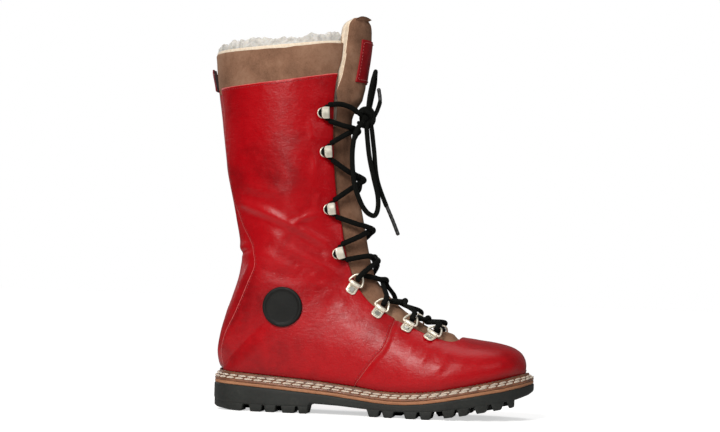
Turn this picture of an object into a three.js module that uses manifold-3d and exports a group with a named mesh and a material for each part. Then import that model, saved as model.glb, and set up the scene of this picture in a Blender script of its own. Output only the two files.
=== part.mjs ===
// Tall laced winter boot, right foot. Millimetres, +Z up, +X towards the toe.
// -Y is the outer (lateral) side, +Y the inner (medial) side.
// The origin is the middle of the heel tread on the ground. The design tables measure x from the
// back of the outsole.
import * as THREE from "three";
import { mergeVertices } from "three/addons/utils/BufferGeometryUtils.js";
import Module from "manifold-3d";

const wasm = await Module();
wasm.setup();

// ---------------------------------------------------------------- driving dimensions
const HEEL_CENTRE_X = 57; // heel tread centre, from the back of the outsole
const GAP = 0.3; // clearance between neighbouring solids
const SEAM_GAP = 0.3; // clearance between neighbouring leather panels
const LEATHER = 2.0; // upper leather thickness
// depths under the outer surface of the upper
const LINING_OUT = LEATHER + GAP;
const LINING_IN = 9.0;
const STIFF_OUT = LEATHER + GAP; // heel counter and toe puff
const STIFF_IN = 3.6;
const TONGUE_OUT = 3.2;
const TONGUE_SUEDE = 1.8; // thickness
const TONGUE_FLEECE = 5.0; // thickness
const TONGUE_TOP = 353; // height
const TONGUE_SPLIT = 280; // height where the laced part meets the free top
const TONGUE_CORNER = 9; // radius of the top corners
const MIDSOLE = 2.7; // thickness
const MIDSOLE_INSET = 0.5; // inside the outsole edge
const FEATHER_INSET = 6.2; // feather line (foot of the upper), inside the outsole edge
const WELT_INSET = 0.3; // inside the outsole edge
const LACE_R = 2.1;
const LACE_SIDES = 5;
const AGLET_R = 1.5;
const WIRE_R = 0.9; // D-ring wire
const BAR_LENGTH = 12.4; // straight bar of the D-ring
const BAR_HEIGHT = 2.55; // bar centre above the leather
const RING_LIFT = 0.34; // lift of the D-ring off the leather, radians
const RIVET_SETBACK = 5.2; // ring rivet behind the bar
const HOOK_WIDTH = 10.6;
const BADGE_R = 17.8;
const SIDES = [-1, 1]; // lateral, medial
// limits of the cutting prisms, beyond the boot
const FAR_BACK = -60;
const FAR_FRONT = 320;
const FAR_TOP = 420;

// ---------------------------------------------------------------- design tables
// Outsole outline: x, lateral half width, medial half width.
// The first and last rows are single points, the last at y = 8.
const OUTLINE = [
  [0, 0, 0], [1.2, 11, 11], [4, 18.5, 18.5], [10, 26, 25.5], [20, 32, 31], [40, 36.4, 35],
  [60, 37.9, 35.5], [80, 38, 34], [100, 38.4, 32], [120, 40, 31], [140, 42.9, 32.5],
  [160, 47, 36], [180, 51, 41], [200, 52.9, 45.5], [215, 52.9, 47.5], [230, 50.4, 48],
  [245, 45.9, 46.5], [260, 38.5, 43], [272, 29, 37], [281, 18, 29.5], [286.5, 6, 20],
  [289, -8, 8],
];

// Stations of the upper, 0 at the toe to 35 at the collar. One entry per station in each table.
// Feather or back point: x, z
const BACK_POINTS = [
  [280.3, 41.3], [278.5, 40.9], [274, 39.6], [266, 37.4], [255, 34.6], [241, 31.4],
  [226, 28.4], [210, 25.2], [193, 23], [175, 22.2], [156, 22.8], [137, 25.2],
  [117, 27.3], [96, 29.4], [75, 31], [55, 32.3], [36, 33.5], [20, 34.4],
  [9.5, 35.4], [4.4, 36.8], [1.7, 44], [0.8, 54], [2.7, 67], [7.2, 84],
  [13.2, 102], [18.4, 119], [20, 136], [18, 154], [13.5, 173], [8, 194],
  [3.2, 216], [0, 240], [-3.4, 268], [-7.6, 296], [-10.8, 326], [-12.9, 348],
];
// Ridge or front point: x, z
const RIDGE_POINTS = [
  [281.5, 45], [281.6, 49.5], [280, 55], [276, 60.2], [267.5, 64.8], [252, 68.3],
  [236, 70.4], [219.5, 73], [204, 78], [190, 85.2], [176.5, 93.7], [166, 102.2],
  [157.5, 110.5], [150, 118.8], [145.2, 127], [142.5, 135.5], [140.5, 143.5], [138.6, 152],
  [136.8, 161], [134.8, 170.5], [132.5, 181], [129.8, 192], [127.4, 203], [125, 214.5],
  [122.9, 226], [121.2, 238], [119.9, 250], [119.2, 261], [119.2, 271], [119.6, 281],
  [120.2, 291], [121, 301], [122, 311], [123, 321], [124, 333], [125, 355],
];
const LAST_STATION = BACK_POINTS.length - 1;
// Half width at the feather
const FEATHER_WIDTHS = [
  11.89, 15.98, 22.52, 29.76, 36.16, 40.81, 43.39, 43.86, 41.95, 38.59, 34.34, 31.01,
  29.13, 29.08, 30.01, 30.44, 28.83, 24.86, 15.6, ...Array(17).fill(1),
];
// Widest half width, kept a little over the feather's
const WIDEST_WIDTHS = [
  3.2, 14, 22.8, 31.6, 39, 43.8, 46.2, 46.8, 45.9, 43.4, 40.4, 38.4,
  37.5, 37.2, 37.2, 37.4, 37.6, 37.7, 37.8, 38, 38.4, 39, 39.8, 40.8,
  42, 43.2, 44.4, 45.4, 46.3, 47.2, 48.2, 49.2, 50.2, 51, 51.6, 52.4,
].map((width, i) => Math.max(width, FEATHER_WIDTHS[i] * 1.01));
// Power of the sine that rounds the section above its widest place
const ROUNDING = [
  1, 0.85, 0.78, 0.75, 0.75, 0.76, 0.78, 0.8, 0.82, 0.86, 0.9, 0.93, 0.95, 0.96, 0.97,
  ...Array(21).fill(0.98),
];
// y of the section's middle at the ridge and at the feather
const RIDGE_Y = [7.4, 7.2, 6.8, 6, 5, 3.8, 2.6, 1.4, 0.6, ...Array(27).fill(0)];
const FEATHER_Y = [
  6.9, 6.38, 5.25, 3.63, 1.9, 0.02, -1.55, -3.09, -4.26, -5.25, -5.49, -5.1,
  -4.32, -2.96, -1.78, -1.04, -0.63, -0.46, ...Array(18).fill(0),
];

// Heights in the sole stack: x, z
const RUBBER_TOP = [
  [0, 24.2], [20, 23.2], [40, 22], [60, 20.8], [83, 19.1], [110, 17], [132, 14.6],
  [150, 12.6], [165, 11.7], [180, 11.9], [195, 13.3], [210, 15.6], [228, 19], [245, 22.5],
  [265, 26.3], [280, 30], [289, 33],
];
const BASE_UNDERSIDE = [
  [0, 10.5], [6, 8.2], [20, 6.6], [40, 6], [91.5, 6], [93.5, 9.3], [120, 8.2], [145, 6.4],
  [165, 5.6], [185, 5.8], [200, 6.6], [215, 8.2], [230, 10.4], [246, 13.3], [260, 16],
  [275, 19.2], [285, 23], [289, 26],
];
const TREAD_UNDERSIDE = [
  [0, 5], [6, 2.6], [20, 0.5], [32, 0], [200, 0], [212, 1.6], [225, 3.4], [241, 6.3],
  [256, 9.2], [272, 12.2], [283, 16.4], [289, 20],
];
const FEATHER_LINE = [
  [0, 37.2], [4.4, 36.8], [9.5, 35.4], [20, 34.4], [36, 33.5], [55, 32.3], [75, 31],
  [96, 29.4], [117, 27.3], [137, 25.2], [156, 22.8], [175, 22.2], [193, 23], [210, 25.2],
  [226, 28.4], [241, 31.4], [255, 34.6], [266, 37.4], [274, 39.6], [280, 41.3], [289, 42.5],
];
// Tread lugs: back x, front x; edge lugs also the half width of the space between the pair
const EDGE_LUGS = [
  [2, 31, 12], [39.5, 49.5, 17], [53.5, 62, 17], [69, 79.5, 17], [84, 91, 17],
  [147.5, 155.5, 24], [161, 168.5, 24], [180.5, 189.5, 24], [194.5, 202.5, 24],
  [214.5, 222.5, 24], [227.5, 234.5, 24], [242.5, 250, 24], [256.5, 263, 24],
  [269.5, 278.5, 24], [282.2, 288, 3],
];
const MID_LUGS = [[42, 76], [163, 173], [184, 194], [205, 215], [226, 236], [247, 256]];

// Seam and edge lines seen square from the side: x, z
const RIM = [
  [-30, 320.5], [-2.8, 322], [20.2, 322.9], [38.4, 324], [55.7, 325.4], [76.4, 327.8],
  [93.1, 330.4], [107.1, 332.4], [140, 334.5],
];
const COLLAR_SEAM = [
  [-30, 289], [0, 289.8], [21.3, 291], [41.1, 293], [59.5, 295.2], [76.8, 298],
  [93.9, 301.3], [106.7, 304], [140, 309],
];
const FACING = [
  [113.9, 360], [113.2, 335], [111.8, 316.5], [108.5, 302.9], [106.3, 284.5],
  [105.9, 266.5], [106.5, 244.1], [108, 217.5], [111.1, 190.8], [115.8, 168.7],
  [119.7, 146.3], [124.9, 128.8], [130.8, 115.7], [141.5, 102.5], [150.4, 95.9],
  [161.4, 90.1], [172.2, 84.1], [184.5, 79], [193.2, 75.2], [205.1, 71.2], [215.4, 68.9],
  [221.7, 70.2], [224.5, 74], [226, 82],
];
const VAMP_SEAM = [
  [172, 110], [166.2, 85.7], [159.1, 62], [150, 50.2], [138.5, 34.3], [133.6, 27], [128, 10],
];
const BACK_SEAM = [
  [-1.7, 330], [-1.7, 290], [1.8, 266.9], [4.2, 232.7], [7.5, 215], [12.2, 191.8],
  [20.6, 171.4], [31.4, 153.5], [36, 144.9], [37.8, 133.2], [36.4, 124.7], [29.7, 108.4],
  [21.3, 89.1], [12.1, 72.2], [7.2, 59.1], [6.4, 48.7], [8.4, 35.5], [9.5, 10],
];

// Lacing hardware, top to bottom: station, turn on the lateral side (the medial side mirrors
// it), tilt in degrees. A hook's top tilts towards the heel, a ring's bar drops towards the toe.
const HOOKS = [[29.35, 0.7, 3], [26.45, 0.704, 5], [22.35, 0.716, 8], [18.5, 0.708, 17]];
const RINGS = [[14.75, 0.652, 31], [11.8, 0.655, 31], [9.65, 0.692, 25], [8.2, 0.716, 29]];

// ---------------------------------------------------------------- small maths
const vec = (x, y, z) => new THREE.Vector3(x, y, z);
const radians = (degrees) => (degrees * Math.PI) / 180;

// Catmull-Rom value of a table of numbers or rows, at a fractional index
function spline(table, u) {
  const count = table.length;
  u = Math.min(Math.max(u, 0), count - 1);
  const i = Math.min(Math.floor(u), count - 2);
  const f = u - i;
  const blend = (get) => {
    const p1 = get(i);
    const p2 = get(i + 1);
    const p0 = i > 0 ? get(i - 1) : 2 * p1 - p2;
    const p3 = i < count - 2 ? get(i + 2) : 2 * p2 - p1;
    return 0.5 * (2 * p1 + (-p0 + p2) * f + (2 * p0 - 5 * p1 + 4 * p2 - p3) * f * f
      + (-p0 + 3 * p1 - 3 * p2 + p3) * f * f * f);
  };
  return Array.isArray(table[0])
    ? table[0].map((_, column) => blend((j) => table[j][column]))
    : blend((j) => table[j]);
}

// straight interpolation in a table of [x, value], held level beyond its ends
function lookUp(table, x) {
  if (x <= table[0][0]) return table[0][1];
  for (let i = 1; i < table.length; i++) {
    const [x0, v0] = table[i - 1];
    const [x1, v1] = table[i];
    if (x <= x1) return v0 + ((v1 - v0) * (x - x0)) / (x1 - x0);
  }
  return table[table.length - 1][1];
}

// ---------------------------------------------------------------- surface of the upper
// turn runs 0..2 round a station: 0 lateral feather or back, 1 ridge, 2 medial feather or back
function surfacePoint(station, turn) {
  const side = turn <= 1 ? -1 : 1;
  const fraction = Math.max(0, turn <= 1 ? turn : 2 - turn);
  const back = spline(BACK_POINTS, station);
  const ridge = spline(RIDGE_POINTS, station);
  const foot = Math.max(spline(FEATHER_WIDTHS, station), 0.8);
  const widest = Math.max(spline(WIDEST_WIDTHS, station), foot * 1.005);
  const footY = spline(FEATHER_Y, station);
  const ridgeY = spline(RIDGE_Y, station);
  const start = Math.asin(Math.min(Math.max(foot / widest, 0), 0.995));
  const angle = start + (Math.PI - start) * fraction;
  const rise = (Math.cos(start) - Math.cos(angle)) / (1 + Math.cos(start));
  const sine = Math.max(0, Math.sin(angle));
  const rounded = angle < Math.PI / 2 ? sine : Math.pow(sine, spline(ROUNDING, station));
  return vec(
    back[0] + (ridge[0] - back[0]) * rise,
    footY + (ridgeY - footY) * rise + side * (widest * rounded),
    back[1] + (ridge[1] - back[1]) * rise,
  );
}

// outward normal, from finite differences
function surfaceNormal(station, turn) {
  const stationStep = 0.03;
  const turnStep = 0.006;
  const station0 = Math.max(0, station - stationStep);
  const station1 = Math.min(LAST_STATION, station + stationStep);
  const turn0 = Math.max(0, turn - turnStep);
  const turn1 = Math.min(2, turn + turnStep);
  const alongStations = surfacePoint(station1, turn).sub(surfacePoint(station0, turn));
  const round = surfacePoint(station, turn1).sub(surfacePoint(station, turn0));
  const normal = round.cross(alongStations).normalize();
  const back = spline(BACK_POINTS, station);
  const ridge = spline(RIDGE_POINTS, station);
  const middle = vec((back[0] + ridge[0]) / 2, 0, (back[1] + ridge[1]) / 2);
  const inward = normal.dot(surfacePoint(station, turn).sub(middle)) < 0;
  return inward ? normal.negate() : normal;
}

const offsetPoint = (station, turn, height) =>
  surfacePoint(station, turn).addScaledVector(surfaceNormal(station, turn), height);

// ---------------------------------------------------------------- solids
// closed geometry to a manifold, turned right side out
function solid(geometry) {
  geometry.deleteAttribute("normal");
  geometry.deleteAttribute("uv");
  const merged = mergeVertices(geometry, 1e-4);
  const index = merged.index.array;
  const triangles = [];
  for (let i = 0; i < index.length; i += 3) {
    const [a, b, c] = [index[i], index[i + 1], index[i + 2]];
    if (a !== b && b !== c && a !== c) triangles.push(a, b, c);
  }
  const make = () => new wasm.Manifold(new wasm.Mesh({
    numProp: 3,
    vertProperties: new Float32Array(merged.attributes.position.array),
    triVerts: new Uint32Array(triangles),
  }));
  const result = make();
  if (result.volume() >= 0) return result;
  for (let i = 0; i < triangles.length; i += 3) {
    [triangles[i + 1], triangles[i + 2]] = [triangles[i + 2], triangles[i + 1]];
  }
  return make();
}

const union = (parts) => parts.reduce((sum, part) => sum.add(part));
const biggest = (manifold) => manifold.decompose().sort((a, b) => b.volume() - a.volume())[0];

// Closed rings of equal length, joined in order. The ends are "fan" (closed by fans),
// "round" (joined to each other) or "sheet": strips across the thickness of a curved sheet
// whose ring runs out along one face and back along the other.
function loft(rings, ends = "fan") {
  const points = rings.flat();
  const size = rings[0].length;
  const last = rings.length - 1;
  const triangles = [];
  for (let i = 0; i < (ends === "round" ? last + 1 : last); i++) {
    const next = (i + 1) % rings.length;
    for (let j = 0; j < size; j++) {
      const j2 = (j + 1) % size;
      const [a, b] = [i * size + j, i * size + j2];
      const [c, d] = [next * size + j2, next * size + j];
      triangles.push(a, b, c, a, c, d);
    }
  }
  for (const k of ends === "round" ? [] : [0, last]) {
    const isFirst = k === 0;
    if (ends === "sheet") {
      for (let j = 0; j < size / 2 - 1; j++) {
        const a = k * size + j;
        const b = a + 1;
        const c = k * size + size - 2 - j;
        const d = c + 1;
        triangles.push(...(isFirst ? [a, c, b, a, d, c] : [a, b, c, a, c, d]));
      }
      continue;
    }
    const centre = rings[k].reduce((sum, p) => sum.add(p), vec(0, 0, 0)).divideScalar(size);
    const hub = points.push(centre) - 1;
    for (let j = 0; j < size; j++) {
      const a = k * size + j;
      const b = k * size + ((j + 1) % size);
      triangles.push(...(isFirst ? [hub, b, a] : [hub, a, b]));
    }
  }
  const geometry = new THREE.BufferGeometry();
  const positions = new Float32Array(points.flatMap((p) => [p.x, p.y, p.z]));
  geometry.setAttribute("position", new THREE.BufferAttribute(positions, 3));
  geometry.setIndex(triangles);
  return solid(geometry);
}

function extrude(outline, depth) {
  const shape = new THREE.Shape(outline.map(([x, y]) => new THREE.Vector2(x, y)));
  return new THREE.ExtrudeGeometry(shape, { depth, bevelEnabled: false });
}

// a prism along Y with its outline in (x, z)
function prism(outline, y0 = -90, y1 = 90) {
  return solid(extrude(outline, y1 - y0).rotateX(Math.PI / 2).translate(0, y1, 0));
}

// a profile in the (across, out) plane of a fitting, with its width along the fitting
function fittingExtrusion(profile, width, { origin, across, out, along }) {
  const frame = new THREE.Matrix4().makeBasis(across, out, along).setPosition(origin);
  return solid(extrude(profile, width).translate(0, 0, -width / 2).applyMatrix4(frame));
}

// turns a geometry's Y axis to the given axis and moves it to the centre
function stand(geometry, centre, axis) {
  const turn = new THREE.Quaternion().setFromUnitVectors(vec(0, 1, 0), axis);
  return solid(geometry.applyMatrix4(new THREE.Matrix4().compose(centre, turn, vec(1, 1, 1))));
}

// a rod along an axis, between two heights over its origin
function rod(radius, low, high, origin, axis, sides) {
  const geometry = new THREE.CylinderGeometry(radius, radius, high - low, sides);
  return stand(geometry, origin.clone().addScaledVector(axis, (low + high) / 2), axis);
}

// a tube along a smooth curve through the points
function tube(points, radius, steps, sides, closed = false) {
  const curve = new THREE.CatmullRomCurve3(points, closed, "centripetal");
  const frames = curve.computeFrenetFrames(steps, closed);
  const rings = [];
  for (let i = 0; i < steps + (closed ? 0 : 1); i++) {
    const centre = curve.getPointAt(i / steps);
    const ring = [];
    for (let k = 0; k < sides; k++) {
      const angle = (2 * Math.PI * k) / sides;
      ring.push(centre.clone()
        .addScaledVector(frames.normals[i], radius * Math.cos(angle))
        .addScaledVector(frames.binormals[i], radius * Math.sin(angle)));
    }
    rings.push(ring);
  }
  return loft(rings, closed ? "round" : "fan");
}

const VOLUME_TURNS = [
  0, 0.12, 0.27, 0.42, 0.56, 0.68, 0.79, 0.9, 1, 1.1, 1.21, 1.32, 1.44, 1.58, 1.73, 1.88, 2,
];
const VOLUME_STATIONS = [
  0, 1, 2, 3, 4, 6, 8, 9, 10, 12, 13, 14, 15, 16, 17, 18, 19, 20, 21, 22, 23, 24, 26, 28, 30,
  32, 34, 35,
];
// The boot's volume, some depth under its outer surface. A drop lowers the sole side and
// raises the top, so that a shell cut with it stays open there.
function volume(depth, drop = 0, firstStation = 0) {
  const rings = [];
  for (const station of VOLUME_STATIONS.filter((value) => value >= firstStation)) {
    const ring = VOLUME_TURNS.map((turn) => offsetPoint(station, turn, -depth));
    if (drop > 0) {
      const fall = station < 18 ? drop : station < 21 ? (drop * (21 - station)) / 3 : 0;
      ring.unshift(ring[0].clone().add(vec(0, 0, -fall)));
      ring.push(ring.at(-1).clone().add(vec(0, 0, -fall)));
    }
    rings.push(ring);
  }
  if (drop > 0) rings.push(rings.at(-1).map((p) => p.clone().add(vec(0, 0, 8))));
  return loft(rings);
}

// everything above a side-view line, or from it to a far x
const shift = (line, dx, dz) => line.map(([x, z]) => [x + dx, z + dz]);
const above = (line, dz) =>
  prism([...shift(line, 0, dz), [line.at(-1)[0], FAR_TOP], [line[0][0], FAR_TOP]]);
const beside = (line, dx, farX) =>
  prism([...shift(line, dx, 0), [farX, line.at(-1)[1]], [farX, line[0][1]]]);
const behind = (line, dx) => beside(line, dx, FAR_BACK);
const inFront = (line, dx) => beside(line, dx, FAR_FRONT);

// ---------------------------------------------------------------- materials and assembly
const standard = (settings) => new THREE.MeshStandardMaterial(settings);
const MATERIALS = {
  leather: standard({ color: 0xaa252c, roughness: 0.42, metalness: 0 }),
  suede: standard({ color: 0x77533f, roughness: 0.95, metalness: 0 }),
  fleece: standard({ color: 0xe3d9cd, roughness: 1, metalness: 0 }),
  rubber: standard({ color: 0x3a3c39, roughness: 0.75, metalness: 0 }),
  tan: standard({ color: 0x9e7357, roughness: 0.7, metalness: 0 }),
  welt: standard({ color: 0x7a4a30, roughness: 0.6, metalness: 0 }),
  thread: standard({ color: 0xe2d2bc, roughness: 0.9, metalness: 0 }),
  steel: standard({ color: 0xc9c9c4, roughness: 0.35, metalness: 0.9 }),
  hardware: standard({ color: 0xe5deca, roughness: 0.35, metalness: 0.6 }),
  lace: standard({ color: 0x1e201c, roughness: 0.9, metalness: 0 }),
  badge: standard({ color: 0x262623, roughness: 0.6, metalness: 0 }),
  board: standard({ color: 0xb08a62, roughness: 0.9, metalness: 0 }),
};

const group = new THREE.Group();
group.name = "boot";
const design = new THREE.Group();
design.position.set(-HEEL_CENTRE_X, 0, 0);
group.add(design);

function add(name, manifold, material) {
  const { vertProperties, triVerts } = manifold.simplify(0.02).getMesh();
  const geometry = new THREE.BufferGeometry();
  const positions = new Float32Array(vertProperties);
  geometry.setAttribute("position", new THREE.BufferAttribute(positions, 3));
  geometry.setIndex(new THREE.BufferAttribute(new Uint32Array(triVerts), 1));
  geometry.computeVertexNormals();
  const mesh = new THREE.Mesh(geometry, MATERIALS[material]);
  mesh.name = name;
  design.add(mesh);
}

// ---------------------------------------------------------------- sole
// evenly spaced points round the outsole: heel, lateral side, toe, medial side
function outlinePoints(count) {
  const lateral = OUTLINE.map(([x, width]) => [x, -width]);
  const medial = OUTLINE.map(([x, , width]) => [x, width]).slice(1, -1).reverse();
  const corners = [...lateral, ...medial];
  const wrapped = [...corners.slice(-2), ...corners, ...corners.slice(0, 3)];
  const fine = [];
  for (let i = 0; i < corners.length * 12; i++) fine.push(spline(wrapped, 2 + i / 12));
  fine.push(fine[0]);
  const lengths = [0];
  for (let i = 1; i < fine.length; i++) {
    const step = Math.hypot(fine[i][0] - fine[i - 1][0], fine[i][1] - fine[i - 1][1]);
    lengths.push(lengths[i - 1] + step);
  }
  const points = [];
  for (let k = 0, j = 1; k < count; k++) {
    const target = (lengths.at(-1) * k) / count;
    while (lengths[j] < target) j++;
    const f = (target - lengths[j - 1]) / (lengths[j] - lengths[j - 1]);
    const [x, y] = fine[j - 1];
    points.push([x + f * (fine[j][0] - x), y + f * (fine[j][1] - y)]);
  }
  return points;
}

// moves an anticlockwise outline inwards
function inset(outline, distance) {
  const count = outline.length;
  return outline.map(([x, y], i) => {
    const a = outline[(i + count - 1) % count];
    const b = outline[(i + 1) % count];
    const length = Math.hypot(b[0] - a[0], b[1] - a[1]);
    const outX = (b[1] - a[1]) / length;
    const outY = -(b[0] - a[0]) / length;
    return [x - outX * distance, y - outY * distance];
  });
}

// lowest and highest y of an outline at x
function yRange(outline, x) {
  const ys = [];
  outline.forEach((p, i) => {
    const q = outline[(i + 1) % outline.length];
    if ((p[0] - x) * (q[0] - x) <= 0 && p[0] !== q[0]) {
      ys.push(p[1] + ((q[1] - p[1]) * (x - p[0])) / (q[0] - p[0]));
    }
  });
  return [Math.min(...ys), Math.max(...ys)];
}

const FINE_OUTLINE = outlinePoints(400);
// cross-sections of a layer, as fractions of its length
const LAYER_CUTS = [
  0, 0.02, 0.05, 0.1, 0.17, 0.25, 0.316, 0.324, 0.41, 0.5, 0.56, 0.62, 0.68, 0.74, 0.8, 0.86,
  0.91, 0.95, 0.98, 1,
];
// A layer of the sole: full width at every x, so that stacked layers share ruled surfaces.
function layer(edgeInset, top, bottom, frontLimit = Infinity) {
  const outline = inset(FINE_OUTLINE, edgeInset);
  const xs = outline.map((p) => p[0]);
  const start = Math.min(...xs) + 0.05;
  const end = Math.min(frontLimit, Math.max(...xs) - 0.05);
  return loft(LAYER_CUTS.map((cut) => {
    const x = start + (end - start) * cut;
    const [y0, y1] = yRange(outline, x);
    const middle = (y0 + y1) / 2;
    const [low, high] = [bottom(x), top(x)];
    return [
      vec(x, y0, low), vec(x, middle, low), vec(x, y1, low),
      vec(x, y1, high), vec(x, middle, high), vec(x, y0, high),
    ];
  }));
}

const rubberTop = (x) => lookUp(RUBBER_TOP, x);
const featherHeight = (x) => lookUp(FEATHER_LINE, x);
const baseBottom = (x) => lookUp(BASE_UNDERSIDE, x);
const treadBottom = (x) => lookUp(TREAD_UNDERSIDE, x);
const midsoleTop = (x) => rubberTop(x) + GAP + MIDSOLE;

// a lug with drafted front and back faces, reaching up into the base plate
function lug(x0, x1, y0, y1) {
  const draft = 1.8;
  const middle = (x0 + x1) / 2;
  const low = treadBottom(middle) - 3;
  const high = baseBottom(middle) + 1.4;
  return prism([[x0, low], [x1, low], [x1 + draft, high], [x0 - draft, high]], y0, y1);
}

// outsole: base plate with the lugs below, trimmed to the tread
const lugs = union([
  ...EDGE_LUGS.flatMap(([x0, x1, inner]) => [lug(x0, x1, -60, -inner), lug(x0, x1, inner, 60)]),
  ...MID_LUGS.map(([x0, x1]) => lug(x0, x1, -9, 9)),
]);
const treadVolume = layer(0.5, (x) => baseBottom(x) + 1.2, treadBottom);
const basePlate = layer(0, rubberTop, baseBottom);
add("outsole", biggest(basePlate.add(treadVolume.intersect(lugs))), "rubber");

add("midsole", layer(MIDSOLE_INSET, midsoleTop, (x) => rubberTop(x) + GAP), "tan");
add("insole_board", layer(
  FEATHER_INSET + 1.2,
  (x) => featherHeight(x) - 0.4,
  (x) => featherHeight(x) - 2.8,
), "board");

// shank: a steel strip between midsole and insole board
const SHANK = { back: 66, step: 12.5, steps: 8, halfWidth: 6.5, thickness: 1.1 };
const shankRings = [];
for (let i = 0; i <= SHANK.steps; i++) {
  const x = SHANK.back + i * SHANK.step;
  const y = SHANK.halfWidth;
  const z = Math.max(featherHeight(x) - 4.8, midsoleTop(x) + 0.6) + 0.2;
  const top = z + SHANK.thickness;
  shankRings.push([vec(x, -y, z), vec(x, y, z), vec(x, y, top), vec(x, -y, top)]);
}
add("shank", loft(shankRings), "steel");

add("footbed", layer(
  FEATHER_INSET + LINING_IN + 1.6,
  (x) => featherHeight(x) + 4.6,
  (x) => featherHeight(x) + 0.2,
  260,
), "board");

// welt: a ring round the upper, sloping down to the edge of the sole
const WELT_OUTLINE = outlinePoints(46);
// a ring with its section given as corners of [inset, height at x]
function edgeRing(corners) {
  const lines = corners.map(([distance]) => inset(WELT_OUTLINE, distance));
  return loft(WELT_OUTLINE.map((_, i) => corners.map(([, height], k) => {
    const [x, y] = lines[k][i];
    return vec(x, y, height(x));
  })), "round");
}
// height over the welt's sloping top; fraction 0 is its outer edge, 1 its inner edge
const weltTop = (fraction, height = 0) => (x) =>
  (rubberTop(x) + 6.9) * (1 - fraction) + (featherHeight(x) - 0.5) * fraction + height;
const weltBottom = (x) => midsoleTop(x) + GAP;
add("welt", edgeRing([
  [WELT_INSET, weltBottom],
  [WELT_INSET, weltTop(0)],
  [FEATHER_INSET - 0.5, weltTop(1)],
  [FEATHER_INSET - 0.5, weltBottom],
]), "welt");
add("welt_stitch", edgeRing([
  [WELT_INSET + 1.0, weltTop(0.18, 0.5)],
  [WELT_INSET + 1.0, weltTop(0.18, 1.3)],
  [WELT_INSET + 4.0, weltTop(0.74, 1.4)],
  [WELT_INSET + 4.0, weltTop(0.74, 0.6)],
]), "thread");

// ---------------------------------------------------------------- places of the hardware
// a point on the upper with its outward normal
function place(station, fraction, side, index) {
  const turn = side < 0 ? fraction : 2 - fraction;
  return {
    station, turn, side,
    name: (side < 0 ? "lateral_" : "medial_") + (index + 1),
    origin: surfacePoint(station, turn),
    out: surfaceNormal(station, turn),
  };
}
// the tangent that looks like (x, z) from the side
const tangent = (out, x, z) => vec(x, -(x * out.x + z * out.z) / out.y, z).normalize();

// across points towards the throat, along follows the facing
function placeHook([station, fraction, tilt], side, index) {
  const hook = place(station, fraction, side, index);
  hook.isHook = true;
  hook.along = tangent(hook.out, -Math.sin(radians(tilt)), Math.cos(radians(tilt)));
  hook.across = hook.along.clone().cross(hook.out);
  if (hook.across.x < 0) hook.across.negate();
  return hook;
}

// along follows the bar; reach and face are the D's own plane direction and outward normal
function placeRing([station, fraction, tilt], side, index) {
  const ring = place(station, fraction, side, index);
  ring.along = tangent(ring.out, Math.cos(radians(tilt)), -Math.sin(radians(tilt)));
  ring.across = ring.along.clone().cross(ring.out).normalize();
  if (ring.across.z < 0) ring.across.negate();
  ring.rivet = ring.origin.clone().addScaledVector(ring.across, -RIVET_SETBACK);
  ring.bar = ring.origin.clone().addScaledVector(ring.out, BAR_HEIGHT);
  ring.reach = ring.across.clone().multiplyScalar(Math.cos(RING_LIFT))
    .addScaledVector(ring.out, Math.sin(RING_LIFT));
  ring.face = ring.reach.clone().cross(ring.along);
  if (ring.face.dot(ring.out) < 0) ring.face.negate();
  return ring;
}
const hooks = SIDES.flatMap((side) => HOOKS.map((row, i) => placeHook(row, side, i)));
const rings = SIDES.flatMap((side) => RINGS.map((row, i) => placeRing(row, side, i)));

// ---------------------------------------------------------------- upper
const outer = volume(0);
const shell = outer.subtract(volume(LEATHER, 6));
const opening = prism([
  ...FACING, [FAR_FRONT, FACING.at(-1)[1]], [FAR_FRONT, FAR_TOP], [FACING[0][0], FAR_TOP],
]);
const holes = union([
  ...hooks.map(({ origin, out }) => rod(1.95, -5, 2, origin, out, 6)),
  ...rings.map(({ rivet, out }) => rod(1.7, -5, 2, rivet, out, 6)),
]);
const belowCollar = shell.subtract(above(COLLAR_SEAM, 0)).subtract(opening);

add("vamp", biggest(belowCollar.intersect(inFront(VAMP_SEAM, 0).subtract(holes))), "leather");

const quarters = belowCollar.subtract(inFront(VAMP_SEAM, -SEAM_GAP))
  .subtract(behind(BACK_SEAM, SEAM_GAP)).subtract(holes);
for (const side of SIDES) {
  const half = prism(
    [[FAR_BACK, -20], [FAR_FRONT, -20], [FAR_FRONT, FAR_TOP], [FAR_BACK, FAR_TOP]],
    side < 0 ? -100 : 0,
    side < 0 ? 0 : 100,
  );
  const name = side < 0 ? "quarter_lateral" : "quarter_medial";
  add(name, biggest(quarters.intersect(half)), "leather");
}

// back strip with its raised top tab, standing off the collar on a short root
const tabZone = (z0, z1) =>
  prism([[FAR_BACK, z0], [12, z0], [12, z1], [FAR_BACK, z1]], -9.5, 9.5);
const tabBlade = volume(-2.6, 0, 30).subtract(volume(-0.5, 8, 30)).intersect(tabZone(284, 305));
const tabRoot = volume(-2.0, 0, 30).subtract(volume(1.0, 8, 30)).intersect(tabZone(283, 289));
const backStrip = belowCollar.intersect(behind(BACK_SEAM, 0)).add(tabBlade.add(tabRoot));
add("back_strip", biggest(backStrip), "leather");

const collar = shell.intersect(above(COLLAR_SEAM, SEAM_GAP)).subtract(above(RIM, 0));
add("collar_band", biggest(collar.subtract(opening)), "suede");

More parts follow.
